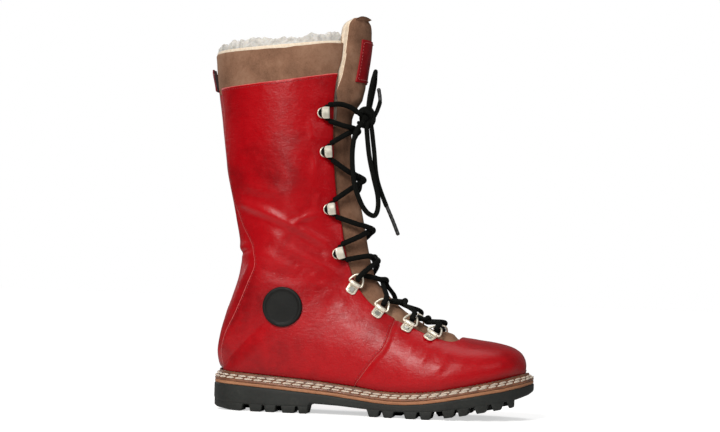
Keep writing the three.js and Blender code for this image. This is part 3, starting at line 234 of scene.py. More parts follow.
def clip(T, P2, f, keep_both=False):
    """cuts triangles T over parameter points P2 at f = 0; keeps f >= 0, or both halves"""
    f = np.where(np.abs(f) < 1e-4, 1e-4, f); ins = f > 0; c = ins[T].sum(1)
    out = [T[c == 3]]
    if keep_both: out.append(T[c == 0])
    new = []; base = len(P2); keys = {}
    def cut(a, b):
        k = (a, b) if a < b else (b, a)
        if k not in keys:
            s = f[a]/(f[a]-f[b]); keys[k] = base+len(new); new.append(P2[a]+(P2[b]-P2[a])*s)
        return keys[k]
    tri = []
    for cnt in (1, 2):
        for t in T[c == cnt]:
            lone = [x for x in range(3) if ins[t[x]] == (cnt == 1)][0]
            a, b, d = int(t[lone]), int(t[(lone+1) % 3]), int(t[(lone+2) % 3])
            p, q = cut(a, b), cut(a, d)
            if cnt == 1:
                tri.append((a, p, q))
                if keep_both: tri += [(p, b, d), (p, d, q)]
            else:
                tri += [(p, b, d), (p, d, q)]
                if keep_both: tri.append((a, p, q))
    if new: P2 = np.vstack([P2, np.array(new)])
    if tri: out.append(np.array(tri))
    return np.concatenate(out), P2

def compact(T, *arrs):
    used = np.unique(T); m = np.full(arrs[0].shape[0], -1); m[used] = np.arange(len(used))
    return (m[T],)+tuple(a[used] for a in arrs)

def boundary(T):
    E = np.concatenate([T[:, [0, 1]], T[:, [1, 2]], T[:, [2, 0]]]); k = np.sort(E, 1)
    u, idx, cnt = np.unique(k, axis=0, return_index=True, return_counts=True)
    return E[idx[cnt == 1]]

def sheet(name, T, Vo, Vi, mats, face_mat=None, edge_mat=0, inner_mat=0, attrs=None):
    """a closed shell from an outer and an inner copy of the same triangles"""
    n = len(Vo); B = boundary(T)
    quads = np.stack([B[:, 1], B[:, 0], B[:, 0]+n, B[:, 1]+n], 1)
    V = np.vstack([Vo, Vi]); fm = np.zeros(len(T), int) if face_mat is None else face_mat
    mi = np.concatenate([fm, np.full(len(T), inner_mat), np.full(len(quads), edge_mat)])
    at2 = {k: np.concatenate([v, v]) for k, v in (attrs or {}).items()}
    o = make(name, V, [np.vstack([T, T[:, ::-1]+n]), quads], mats, mi, attrs=at2)
    return o

def grid_tris(nt, nr):
    i = np.arange(nt-1)[:, None]*nr+np.arange(nr-1)[None]; i = i.ravel()
    a, b, c, d = i, i+1, i+nr+1, i+nr
    return np.concatenate([np.stack([a, b, c], 1), np.stack([a, c, d], 1)])

def loft(name, rings, mats, closed=True, round_=False, caps=True, uv=None, flip=False, mi=None, shade=True):
    R = np.asarray(rings, float); n, m = R.shape[:2]
    i = np.arange(n if round_ else n-1)[:, None]; j = np.arange(m if closed else m-1)[None]
    a = i*m+j; b = i*m+(j+1) % m; c = ((i+1) % n)*m+(j+1) % m; d = ((i+1) % n)*m+j
    Q = np.stack([a, b, c, d], -1).reshape(-1, 4)
    if flip: Q = Q[:, ::-1]
    faces = [Q]
    if caps and not round_ and closed:
        c0 = list(range(m)); c1 = list(range((n-1)*m, n*m))
        faces.append([c0[::-1] if not flip else c0, c1 if not flip else c1[::-1]])
    return make(name, R.reshape(-1, 3), faces, mats, mi, uv=uv, smooth_shade=shade)

def fix_normals(o):
    import bmesh
    bm = bmesh.new(); bm.from_mesh(o.data); bmesh.ops.recalc_face_normals(bm, faces=bm.faces[:]); bm.to_mesh(o.data); bm.free()
    return o

def sharpen(o, angle=40):
    o.data.set_sharp_from_angle(angle=math.radians(angle)); return o

def bevel(o, w, seg=2, angle=30):
    m = o.modifiers.new("b", "BEVEL"); m.width = w*.001; m.segments = seg; m.limit_method = "ANGLE"; m.angle_limit = math.radians(angle); m.harden_normals = False
    bake(o); return o

def bake(o):
    dg = bpy.context.evaluated_depsgraph_get(); me = bpy.data.meshes.new_from_object(o.evaluated_get(dg))
    o.modifiers.clear(); o.data = me
    me.polygons.foreach_set("use_smooth", np.full(len(me.polygons), True))
    return o

def join(name, objs):
    """one object from several, keeping materials and UVs"""
    bpy.ops.object.select_all(action="DESELECT")
    for o in objs: o.select_set(True)
    bpy.context.view_layer.objects.active = objs[0]
    bpy.ops.object.join()
    objs[0].name = name; objs[0].data.name = name
    return objs[0]

def curve(points, step=1.0, closed=False):
    """centripetal Catmull-Rom through points, resampled at even steps"""
    P = np.asarray(points, float)
    if closed: P = np.vstack([P[-1:], P, P[:2]])
    else: P = np.vstack([2*P[:1]-P[1:2], P, 2*P[-1:]-P[-2:-1]])
    out = []
    for i in range(1, len(P)-2):
        p0, p1, p2, p3 = P[i-1:i+3]
        t0 = 0; t1 = t0+max(np.linalg.norm(p1-p0)**.5, 1e-4); t2 = t1+max(np.linalg.norm(p2-p1)**.5, 1e-4); t3 = t2+max(np.linalg.norm(p3-p2)**.5, 1e-4)
        t = np.linspace(t1, t2, 24, endpoint=False)[:, None]
        A1 = (t1-t)/(t1-t0)*p0+(t-t0)/(t1-t0)*p1; A2 = (t2-t)/(t2-t1)*p1+(t-t1)/(t2-t1)*p2; A3 = (t3-t)/(t3-t2)*p2+(t-t2)/(t3-t2)*p3
        B1 = (t2-t)/(t2-t0)*A1+(t-t0)/(t2-t0)*A2; B2 = (t3-t)/(t3-t1)*A2+(t-t1)/(t3-t1)*A3
        out.append((t2-t)/(t2-t1)*B1+(t-t1)/(t2-t1)*B2)
    C = np.vstack(out+[P[-2][None]])
    s = np.r_[0, np.cumsum(np.linalg.norm(np.diff(C, axis=0), axis=1))]
    n = max(4, int(round(s[-1]/step))); u = np.linspace(0, s[-1], n+1)
    if closed: u = u[:-1]
    return np.stack([np.interp(u, s, C[:, k]) for k in range(3)], -1), u

GT, GR = np.meshgrid(np.linspace(.5, 34.5, 120), np.linspace(.02, 1.98, 110), indexing="ij")
GP = surf(GT, GR).reshape(-1, 3); GN = normal(GT, GR).reshape(-1, 3)
def near_normal(P):
    out = np.empty_like(P)
    for i, p in enumerate(P): out[i] = GN[np.argmin(np.sum((GP-p)**2, 1))]
    return out

def cord(name, pts, rw, rh, mats, step=1.0, sides=12, closed=False, ups=None, taper=0, raw_normals=None):
    """a soft cord of oval section, rw across the surface and rh off it, with rounded ends"""
    C, u = curve(pts, step, closed); n = len(C)
    T = unit(np.roll(C, -1, 0)-np.roll(C, 1, 0)) if closed else unit(np.gradient(C, axis=0))
    N = near_normal(C) if raw_normals is None else np.broadcast_to(np.asarray(raw_normals, float), C.shape).copy()
    for _ in range(6): # smooth the frame
        M = np.vstack([N[:1], N, N[-1:]]); N = unit(M[:-2]+2*M[1:-1]+M[2:])
    N = unit(N-np.sum(N*T, 1)[:, None]*T); B = np.cross(T, N)
    a = np.linspace(0, 2*np.pi, sides, endpoint=False)
    sc = np.ones(n)
    if not closed:
        e = np.minimum(u, u[-1]-u)/max(rw*.8, .3); sc = np.sqrt(np.clip(1-(1-np.clip(e, 0, 1))**2, .04, 1))
    R = C[:, None]+sc[:, None, None]*(B[:, None]*(rw*np.cos(a))[None, :, None]+N[:, None]*(rh*np.sin(a))[None, :, None])
    # u runs out and back round the section, so the braid pattern meets itself round the cord
    uv = np.stack([np.broadcast_to(np.abs((a/np.pi+1) % 2-1)[None], (n, sides)), np.broadcast_to((u/10)[:, None], (n, sides))], -1).reshape(-1, 2)
    return loft(name, R, mats, True, closed, True, uv=uv)

# ------------------------------------------------------------------ materials
def lin_rgb(r, g, b):
    f = lambda c: (c/255/12.92 if c/255 <= .04045 else ((c/255+.055)/1.055)**2.4)
    return (f(r), f(g), f(b), 1)

class Mat:
    def __init__(self, name, rough=.5, metal=0, sheen=0, coat=0, spec=.5):
        self.m = bpy.data.materials.new(name); self.m.use_nodes = True; self.t = self.m.node_tree; self.t.nodes.clear()
        self.out = self.t.nodes.new("ShaderNodeOutputMaterial"); self.b = self.t.nodes.new("ShaderNodeBsdfPrincipled")
        self.t.links.new(self.b.outputs[0], self.out.inputs[0])
        s = self.b.inputs; s["Roughness"].default_value = rough; s["Metallic"].default_value = metal
        s["Sheen Weight"].default_value = sheen; s["Coat Weight"].default_value = coat; s["Specular IOR Level"].default_value = spec
        self.co = self.t.nodes.new("ShaderNodeTexCoord").outputs["Object"]; self.uv = None
    def node(self, kind, **kw):
        n = self.t.nodes.new(kind)
        for k, v in kw.items(): setattr(n, k, v)
        return n
    def put(self, sock, v):
        if isinstance(v, bpy.types.NodeSocket): self.t.links.new(v, sock)
        else: sock.default_value = v
    def scaled(self, sx, sy, sz, vec=None):
        n = self.node("ShaderNodeMapping"); n.inputs["Scale"].default_value = (sx, sy, sz); self.put(n.inputs["Vector"], vec or self.co); return n.outputs[0]
    def noise(self, scale, detail=3, rough=.5, dist=0, vec=None):
        n = self.node("ShaderNodeTexNoise"); self.put(n.inputs["Vector"], vec or self.co)
        n.inputs["Scale"].default_value = scale; n.inputs["Detail"].default_value = detail; n.inputs["Roughness"].default_value = rough; n.inputs["Distortion"].default_value = dist
        return n.outputs["Fac"]
    def vor(self, scale, feature="F1", vec=None, rand=1):
        n = self.node("ShaderNodeTexVoronoi", feature=feature); self.put(n.inputs["Vector"], vec or self.co); n.inputs["Scale"].default_value = scale
        n.inputs["Randomness"].default_value = rand
        return n.outputs["Distance"]
    def wave(self, scale, dist=0, vec=None, direction="X", profile="SIN", dscale=1):
        n = self.node("ShaderNodeTexWave", bands_direction=direction, wave_profile=profile); self.put(n.inputs["Vector"], vec or self.co)
        n.inputs["Scale"].default_value = scale; n.inputs["Distortion"].default_value = dist; n.inputs["Detail Scale"].default_value = dscale
        return n.outputs["Fac"]
    def ramp(self, fac, *stops):
        n = self.node("ShaderNodeValToRGB"); self.put(n.inputs[0], fac); e = n.color_ramp.elements
        while len(e) < len(stops): e.new(.5)
        for el, (p, c) in zip(e, stops): el.position = p; el.color = c if not np.isscalar(c) else (c, c, c, 1)
        return n.outputs[0]
    def mix(self, fac, a, b, mode="MIX"):
        n = self.node("ShaderNodeMix", data_type="RGBA", blend_type=mode); self.put(n.inputs[0], fac); self.put(n.inputs[6], a); self.put(n.inputs[7], b); return n.outputs[2]
    def math(self, op, a, b=0.0, clamp=False):
        n = self.node("ShaderNodeMath", operation=op, use_clamp=clamp); self.put(n.inputs[0], a); self.put(n.inputs[1], b); return n.outputs[0]
    def attr(self, name): return self.node("ShaderNodeAttribute", attribute_name=name).outputs["Fac"]
    def sep(self, vec):
        n = self.node("ShaderNodeSeparateXYZ"); self.put(n.inputs[0], vec); return n.outputs
    def facing(self, blend=.5):
        n = self.node("ShaderNodeLayerWeight"); n.inputs[0].default_value = blend; return n.outputs["Facing"]
    def color(self, v): self.put(self.b.inputs["Base Color"], v); return self
    def rough(self, v): self.put(self.b.inputs["Roughness"], v); return self
    def bump(self, *layers):
        """layers: (height, depth in mm, strength)"""
        prev = None
        for h, d, s in layers:
            n = self.node("ShaderNodeBump"); n.inputs["Distance"].default_value = d*.001; n.inputs["Strength"].default_value = s; self.put(n.inputs["Height"], h)
            if prev is not None: self.put(n.inputs["Normal"], prev)
            prev = n.outputs[0]
        self.put(self.b.inputs["Normal"], prev); return self

def leather(name, dark, mid, light, rough=(.28, .4), coat=.08, grain=1.0):
    m = Mat(name, coat=coat, spec=.24); m.b.inputs["Coat Roughness"].default_value = .26
    big = m.noise(13, 4, .6, .4); small = m.noise(140, 4, .6); fine = m.noise(900, 3, .6)
    c = m.ramp(big, (.3, dark), (.52, mid), (.8, mid))
    c = m.mix(m.ramp(small, (.42, 0.0), (.75, .35)), c, light)
    c = m.mix(m.ramp(m.vor(760, "DISTANCE_TO_EDGE"), (0, .35), (.12, 0.0)), c, dark)   # pores and grain lines hold darker dye
    c = m.mix(m.attr("ridge_highlight"), c, light)                                                   # crease ridges are painted paler: a painted highlight along the ridges
    # painted shade: the leather is darkened near the sole and wherever the mesh weight marks shade; a small part of
    # that weight is random mottle
    c = m.mix(m.attr("painted_shade_and_mottle"), c, dark)
    m.color(c); m.rough(m.ramp(m.mix(.5, small, fine), (.3, rough[0]), (.7, rough[1])))
    wr = m.noise(1, 4, .6, .8, m.scaled(110, 110, 330))
    m.bump((m.noise(48, 3, .5), 1.3, .5), (wr, .6*grain, .5), (m.noise(240, 4, .65, .6), .4*grain, .55), (m.vor(620, "DISTANCE_TO_EDGE"), .12*grain, .55), (fine, .08*grain, .5))
    return m.m

RED_D, RED_M, RED_L = lin_rgb(126, 0, 7), lin_rgb(176, 1, 13), lin_rgb(194, 14, 24)
M_RED = leather("red leather", RED_D, RED_M, RED_L)
M_TAB = leather("dark red leather", lin_rgb(84, 12, 22), lin_rgb(112, 20, 32), lin_rgb(140, 40, 48))
M_LABEL = leather("label leather", lin_rgb(140, 8, 16), lin_rgb(166, 14, 24), lin_rgb(190, 50, 54), (.4, .55), .1)

def cut_edge(name, a, b, scale=420):
    m = Mat(name, .8, sheen=.1); n = m.noise(scale, 5, .7); w = m.noise(1500, 2, .7)
    m.color(m.mix(m.ramp(n, (.35, 0.0), (.7, 1.0)), a, b)); m.bump((n, .25, .6), (w, .1, .5)); return m.m
M_RED_CUT = cut_edge("cut leather edge", lin_rgb(212, 70, 70), lin_rgb(236, 118, 110))
M_CREAM_CUT = cut_edge("cut fleece skin", lin_rgb(246, 230, 208), lin_rgb(228, 204, 176))
M_BROWN_CUT = cut_edge("cut suede edge", lin_rgb(150, 112, 84), lin_rgb(120, 84, 60))

def suede(name, dark, mid, light):
    m = Mat(name, .95, sheen=.22, spec=.15); m.b.inputs["Sheen Roughness"].default_value = .5; m.b.inputs["Sheen Tint"].default_value = lin_rgb(190, 160, 135)
    nap = m.noise(36, 5, .65, .15); fib = m.noise(1, 4, .7, 0, m.scaled(900, 900, 2200)); spk = m.noise(700, 4, .8)
    c = m.ramp(nap, (.3, dark), (.5, mid), (.72, light)); c = m.mix(m.ramp(spk, (.35, .0), (.75, .5)), c, light); c = m.mix(m.ramp(fib, (.55, 0.0), (.85, .5)), c, dark)
    # painted shade: the suede is darkened where the mesh weight marks shade, as on the laced part of the tongue
    c = m.mix(m.attr("painted_shade_and_mottle"), c, dark)
    m.color(c); m.bump((nap, .5, .3), (spk, .22, .7), (fib, .12, .6)); return m.m
M_SUEDE = suede("brown suede", lin_rgb(94, 64, 47), lin_rgb(135, 97, 75), lin_rgb(164, 127, 103))

def fleece(name):
    m = Mat(name, 1, sheen=.25, spec=.1); m.b.inputs["Sheen Roughness"].default_value = .6
    curl = m.vor(330, "SMOOTH_F1", m.scaled(1, 1, 1)); tuft = m.noise(120, 5, .7, 1.2); hair = m.noise(1500, 4, .8)
    c = m.ramp(tuft, (.3, lin_rgb(176, 170, 162)), (.55, lin_rgb(214, 210, 203)), (.8, lin_rgb(236, 233, 228)))
    # painted shade: the pile is darkened to beige the deeper it sits inside the boot
    c = m.mix(m.attr("depth_shade"), c, lin_rgb(176, 158, 140))
    m.color(c); m.bump((curl, .9, .6), (tuft, .8, .6), (hair, .25, .7))
    m.b.inputs["Subsurface Weight"].default_value = .15; m.b.inputs["Subsurface Radius"].default_value = (.004, .003, .002); return m.m
M_FLEECE = fleece("shearling")

def rubber(name):
    m = Mat(name, .6, spec=.28); n = m.noise(420, 4, .7); big = m.noise(22, 3, .6); w = m.noise(60, 4, .6, 1.5)
    c = m.ramp(big, (.3, lin_rgb(28, 30, 28)), (.6, lin_rgb(38, 40, 38)), (.85, lin_rgb(50, 52, 48))); c = m.mix(m.ramp(w, (.6, 0.0), (.78, .4)), c, lin_rgb(66, 66, 60))
    m.color(m.mix(m.ramp(n, (.4, 0.0), (.8, .25)), c, lin_rgb(74, 74, 68))); m.rough(m.ramp(n, (.3, .5), (.7, .72)))
    m.bump((n, .14, .5), (m.vor(1500), .06, .4), (w, .3, .12)); return m.m
M_RUBBER = rubber("black rubber")

m = Mat("tan midsole", .62, spec=.35); st = m.noise(1, 4, .6, 0, m.scaled(40, 40, 2600)); n = m.noise(300, 4, .7)
m.color(m.mix(m.ramp(n, (.4, 0.0), (.8, .5)), m.ramp(st, (.3, lin_rgb(128, 82, 56)), (.5, lin_rgb(170, 116, 82)), (.7, lin_rgb(190, 140, 104))), lin_rgb(112, 70, 48)))
m.bump((st, .18, .5), (n, .1, .4)); M_TAN = m.m

m = Mat("brown welt", .46, coat=.15, spec=.45); n = m.noise(60, 5, .65, .5); g = m.vor(800, "DISTANCE_TO_EDGE"); f = m.noise(600, 4, .7)
# painted shade: the welt colour is darkened where the mesh weight marks its grooves and joins
c = m.ramp(n, (.3, lin_rgb(88, 50, 32)), (.52, lin_rgb(124, 76, 50)), (.75, lin_rgb(156, 104, 74))); c = m.mix(m.attr("painted_shade_and_mottle"), c, lin_rgb(52, 30, 22))
m.color(m.mix(m.ramp(f, (.5, 0.0), (.8, .5)), c, lin_rgb(170, 122, 90))); m.rough(m.ramp(f, (.3, .38), (.7, .6))); m.bump((g, .1, .5), (f, .15, .5), (n, .3, .3)); M_WELT = m.m

def thread(name, a, b, ply=1.0, rough=.75):
    m = Mat(name, rough, sheen=.2, spec=.3); n = m.noise(500, 3, .7); uvn = m.node("ShaderNodeUVMap").outputs[0]
    tw = m.wave(1, .3, m.scaled(9*ply, 26*ply, 1, uvn), "DIAGONAL")
    # painted shade: the thread is darkened in the grooves of its twist
    m.color(m.mix(m.ramp(tw, (.1, .55), (.5, 0.0)), m.ramp(n, (.3, a), (.7, b)), tuple(v*.45 for v in a[:3])+(1,))); m.bump((tw, .3, .7), (m.noise(2600, 2), .08, .5)); return m.m
M_CORD = thread("pale welt cord", lin_rgb(248, 222, 196), lin_rgb(255, 242, 224))
M_TONAL = thread("brown thread", lin_rgb(116, 74, 50), lin_rgb(140, 94, 66), 2)
M_REDTHREAD = thread("red thread", lin_rgb(156, 10, 18), lin_rgb(172, 16, 24), 2)
M_PINK = thread("light red thread", lin_rgb(206, 70, 72), lin_rgb(226, 104, 100), 2)

def braid(name, a, b):
    m = Mat(name, .8, sheen=.0, spec=.12); uvn = m.node("ShaderNodeUVMap").outputs[0]
    w1 = m.wave(1, 0, m.scaled(5.2, 14.0, 1, uvn), "DIAGONAL"); w2 = m.wave(1, 0, m.scaled(-5.2, 14.0, 1, uvn), "DIAGONAL")
    h = m.math("MAXIMUM", w1, w2); n = m.noise(1800, 3, .7)
    # painted shade: the braid is darkened in the grooves between its strands
    m.color(m.mix(m.ramp(h, (.35, 0.0), (.9, 1.0)), a, m.ramp(n, (.3, b), (.7, tuple(v*1.5 for v in b[:3])+(1,))))); m.bump((h, .45, .8), (n, .12, .6)); return m.m
M_LACE = braid("black braided cord", lin_rgb(3, 4, 3), lin_rgb(21, 22, 19))

def metal(name, base, rough=.3, metallic=.85):
    m = Mat(name, rough, metallic, spec=.5); n = m.noise(1, 4, .6, 0, m.scaled(300, 300, 3000)); s = m.noise(90, 4, .6)
    m.color(m.mix(m.ramp(s, (.35, 0.0), (.75, .4)), base, tuple(v*.8 for v in base[:3])+(1,))); m.rough(m.ramp(m.mix(.5, n, s), (.3, rough-.08), (.7, rough+.14))); m.bump((n, .03, .4), (s, .12, .15)); return m.m
M_HW = metal("nickel-plated hardware", lin_rgb(246, 238, 220), .34, .45)
# the ribbed recess is grey-green; its darker value is painted shade for the recess
M_RIB_SHADED = metal("ribbed recess", lin_rgb(150, 150, 134), .45, .6)
M_STEEL = metal("steel", lin_rgb(190, 188, 180), .35, 1)

m = Mat("dark badge", .5, spec=.22); n = m.noise(700, 4, .7); s = m.noise(40, 4, .6, .6)
m.color(m.mix(m.ramp(s, (.4, 0.0), (.75, .5)), lin_rgb(18, 19, 17), lin_rgb(32, 32, 28))); m.rough(m.ramp(n, (.3, .42), (.7, .66))); m.bump((n, .1, .5), (m.vor(1100), .05, .4)); M_BADGE = m.m
m = Mat("lace tip film", .3, coat=.3, spec=.5); n = m.noise(500, 3, .6)
m.color(m.ramp(n, (.3, lin_rgb(18, 18, 17)), (.7, lin_rgb(34, 34, 31)))); m.rough(m.ramp(n, (.3, .22), (.7, .4))); m.bump((n, .08, .4)); M_TIP = m.m
m = Mat("pressed fibre board", .85, spec=.2); n = m.noise(260, 5, .75, .5); f = m.noise(1, 3, .6, 0, m.scaled(200, 1400, 1400))
m.color(m.ramp(m.mix(.5, n, f), (.35, lin_rgb(140, 102, 70)), (.65, lin_rgb(190, 152, 112)))); m.bump((n, .2, .5), (f, .1, .4)); M_BOARD = m.m

PAINT = {"leather": M_RED}
def paint_node(n, mat):
    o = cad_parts[n]; o.data.materials.clear(); o.data.materials.append(mat)
for n in ("insole_board", "footbed", "heel_counter", "toe_puff"): paint_node(n, M_BOARD)
paint_node("shank", M_STEEL)
for s in ("lateral", "medial"):
    for i in range(1, 5): paint_node(f"ring_rivet_{s}_{i}", M_STEEL)

# ------------------------------------------------------------------ upper: leather panels
# crease ridges seen square from the side: points (x, z), height mm, half width mm, trough depth mm, trough offset mm
CREASES = [
    ([(20,188),(31.6,183.2),(52.7,175.7),(74.9,166),(91.9,157.2),(109.7,147.1)], 1.7, 3.4, -1.5, 7.0),
    ([(72,166),(77.1,169.8),(83,173.2),(90.3,176.7),(98,179)], 1.1, 2.6, -.8, 5.0),
    ([(16,150),(32,143),(50,139),(68,131),(84,128)], .8, 5.0, -.8, 9.0),
    ([(52,158),(64,150),(82,141),(104,131),(118,122)], .9, 4.2, -.9, 8.0),
    ([(88,240),(91.4,228),(92,214),(93,204)], .7, 3.4, -.5, 6.0),
    ([(93,196),(95.5,187.1),(97,177)], .8, 3.0, -.6, 5.5),
    ([(86,262),(88,252),(89,243)], .6, 3.2, -.4, 6.0),
    ([(22,206),(40,199),(58,196),(72,191)], .6, 5.0, -.5, 9.0),
    ([(100,118),(112,108),(122,101)], .6, 3.6, -.5, 6.0),
    ([(172,52),(181,60),(186,70)], .3, 3.4, -.2, 6.0),
    ([(188,44),(196,55),(200,66)], .35, 3.4, -.25, 6.0),
    ([(204,40),(212,50),(214,60)], .35, 3.2, -.3, 6.0),
]

def creases(P, side):
    h = np.zeros(len(P)); ridge_highlight = np.zeros(len(P)); p = xz(P)
    for i, (line, a, w, b, off) in enumerate(CREASES):
        L = dense(line, 6)
        if side > 0: L = L+np.array([2.0*math.sin(i*2.1), 4*math.cos(i*1.7)]); a, b = a*.85, b*.85
        sel = (p[:, 0] > L[:, 0].min()-22) & (p[:, 0] < L[:, 0].max()+22) & (p[:, 1] > L[:, 1].min()-22) & (p[:, 1] < L[:, 1].max()+22)
        if not sel.any(): continue
        q = p[sel]; d = np.full(len(q), 1e9); u = np.zeros(len(q)); sg = np.zeros(len(q)); n = len(L)-1
        for k in range(n):
            A, B = L[k], L[k+1]; e = B-A; l = e@e; s = np.clip(((q-A)@e)/l, 0, 1); v = q-A-s[:, None]*e; dd = np.hypot(*v.T)
            m = dd < d; d[m] = dd[m]; u[m] = ((k+s)/n)[m]; sg[m] = np.sign(e[0]*v[:, 1]-e[1]*v[:, 0])[m]
        taper = np.clip(np.sin(np.pi*np.clip(u, .001, .999)), 0, 1)**.6*(1+.25*np.sin(u*9+i))
        w2 = w*(1+.3*np.sin(u*7+i*2)); sd = d*sg
        up = a*np.exp(-(sd/w2)**2)*taper; dn = b*np.exp(-((sd+off)/(w2*1.5))**2)*taper+b*.6*np.exp(-((sd-off)/(w2*1.5))**2)*taper
        # the ridge tops also get a weight for the painted highlight that paints them paler
        h[sel] += up+dn; ridge_highlight[sel] = np.maximum(ridge_highlight[sel], up/1.7*.55)
    return h, ridge_highlight

PINS = []   # places that stay at their design height, for hardware
for s in (-1, 1):
    for t, q in HOOKS+RINGS: PINS.append(surf(t, q if s < 0 else 2-q))
PINS = np.array(PINS)

def relief(P, N):
    """height of the leather over the design surface, and the weight of the painted highlight on its crease ridges"""
    side = P[:, 1] > 0; h = np.zeros(len(P)); ridge_highlight = np.zeros(len(P))
    for s in (-1, 1):
        m = side == (s > 0); a, b = creases(P[m], s); h[m] = a; ridge_highlight[m] = b
    shaft = smooth(60, 120, P[:, 2])
    h = h+shaft*1.3*fbm(P*np.array([1, 1, .55]), 46, 3, 3)+(1-shaft)*.45*fbm(P, 34, 3, 8)+.16*fbm(P, 9, 3, 21)
    # slack runs in the ankle
    ank = np.exp(-((P[:, 2]-150)/34)**2)*smooth(8, 26, P[:, 0])
    h = h+ank*.7*np.sin((P[:, 2]+.42*P[:, 0]+5*fbm(P, 40, 2, 5))/6.2)*(.5+.5*fbm(P, 30, 2, 9))
    d = np.full(len(P), 1e9)
    for c in PINS: d = np.minimum(d, np.linalg.norm(P-c, axis=1))
    bad = np.linalg.norm(P-np.array([66.3, -37.8, 94]), axis=1)
    keep = smooth(5, 16, d)*smooth(17, 27, bad)*smooth(0, 9, np.abs(f_face(P))+3)
    keep = keep*smooth(36, 52, P[:, 2]-lin(Z_FEATHER, P[:, 0])+36)*smooth(28, 60, np.abs(P[:, 0]-291)+24)
    return h*keep, ridge_highlight*keep

DT, DR = ((.085, .0075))

def panel(name, body, nodes, tr, rr, cuts, edges, level, thick, mats, wrap=False, edge_mat=1, stretch=None):
    """a panel over part of the boot: cuts are fields kept where >= 0; edges are (field, width, drop, raw)"""
    nt = int((tr[1]-tr[0])/DT)+2; nr = int((rr[1]-rr[0])/DR)+2
    t = np.linspace(*tr, nt); r = np.linspace(*rr, nr); A, B = np.meshgrid(t, r, indexing="ij")
    Q = np.stack([A.ravel(), B.ravel()], 1); T = grid_tris(nt, nr)
    R = (lambda w: np.where(w < 0, 2+w, w)) if wrap else (lambda w: w)
    pos = lambda Q: surf(Q[:, 0], R(Q[:, 1]))
    for f in cuts:
        T, Q = clip(T, Q, f(pos(Q))); T, Q = compact(T, Q)
    for f, w, drop, raw in edges:
        T, Q = clip(T, Q, f(pos(Q))-w, True); T, Q = compact(T, Q)
        if w > .8:
            T, Q = clip(T, Q, f(pos(Q))-(raw or w*.35), True); T, Q = compact(T, Q)
    P = pos(Q); N = normal(Q[:, 0], R(Q[:, 1]))
    if wrap: # the back line is drawn from both sides: blend across it
        k = smooth(0, .02, np.abs(Q[:, 1]))[:, None]; N = unit(N*k+unit(N*np.array([1, .2, 1]))*(1-k))
    h, ridge_highlight = relief(P, N); h = h+level(P)
    fm = np.zeros(len(T), int); C = P[T].mean(1)
    for f, w, drop, raw in edges:
        d = np.clip(f(P)/w, 0, 1); h = h-drop*(1-np.sqrt(np.clip(1-(1-d)**2, 0, 1)))
        ridge_highlight = np.maximum(ridge_highlight, .0*d)
        if raw: fm[f(C) < raw] = edge_mat
    # painted shade along the join with the sole, darkest at the feather line, plus a little random darker mottle
    z = P[:, 2]-lin(Z_FEATHER, P[:, 0]); painted_shade_and_mottle = (1-smooth(0, 9, z))*.55+.12*np.clip(fbm(P, 40, 3, 31), 0, 1)
    Vo = P+N*h[:, None]; Vi = P+N*(np.minimum(h-thick, level(P)-thick))[:, None]
    # wind the triangles outwards
    fn = np.cross(Vo[T[:, 1]]-Vo[T[:, 0]], Vo[T[:, 2]]-Vo[T[:, 0]])
    if np.sum(fn*N[T[:, 0]]) < 0: T = T[:, ::-1]
    o = sheet(name, T, Vo, Vi, mats, fm, edge_mat, 0, {"ridge_highlight": ridge_highlight, "painted_shade_and_mottle": painted_shade_and_mottle})
    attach(o, body)
    if nodes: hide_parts(*nodes)
    return o

def under(f, width, depth):
    """drops a panel that runs under its neighbour: f is negative there"""
    return lambda P: -depth*(1-smooth(-.2, width, f(P)))

zero = lambda P: np.zeros(len(P))
RED = [M_RED, M_RED_CUT]
vamp = panel("vamp_panel", "boot", ["vamp"], (-.98, 14.2), (.0, 2.0),
    [lambda P: -f_vamp(P)+5.5, f_face], [(f_face, 1.6, .9, False)], lambda P: -1.5*(1-smooth(-.6, 5.5, -f_vamp(P))), 1.9, RED)
for s, nm, rr in ((-1, "lateral", (0.0, .97)), (1, "medial", (1.03, 2.0))):
    panel("quarter_panel_"+nm, "boot", ["quarter_"+nm], (8.2, 33.8), rr,
        [f_vamp, f_back, f_col, f_face, lambda P: P[:, 2]-lin(Z_FEATHER, P[:, 0])+2], [(f_face, 1.7, 1.0, False), (f_vamp, 1.6, 1.35, .5), (f_back, 1.8, 1.3, 1.15), (f_col, 1.5, 1.3, .7)],
        zero, 1.9, RED)

def strip_level(P):
    d = -f_back(P); notch = -1.2*np.exp(-((P[:, 2]-136-.25*P[:, 0])/2.0)**2)*smooth(-1, 6, d)+.5*np.exp(-((P[:, 2]-141-.25*P[:, 0])/3.4)**2)*smooth(-1, 6, d)
    return -1.35*(1-smooth(-.4, 7, d))+notch-.2
strip = panel("back_strip_panel", "boot", ["back_strip"], (18.6, 33.6), (-.62, .62),
    [lambda P: -f_back(P)+5.0, f_col, lambda P: 30-P[:, 0]+12*(P[:, 2] > 60)], [(f_col, 1.5, .5, .6)], strip_level, 1.9, RED, wrap=True)

collar = panel("collar_panel", "boot", ["collar_band"], (29.2, 34.4), (-.93, .93),
    [lambda P: f_rim(P)-.9, lambda P: -f_col(P)+6, f_face], [(lambda P: f_rim(P)-.9, 1.6, .7, False), (f_face, 1.4, .7, False)],
    lambda P: -1.05+.0*P[:, 0], 1.6, [M_SUEDE, M_BROWN_CUT], wrap=True)

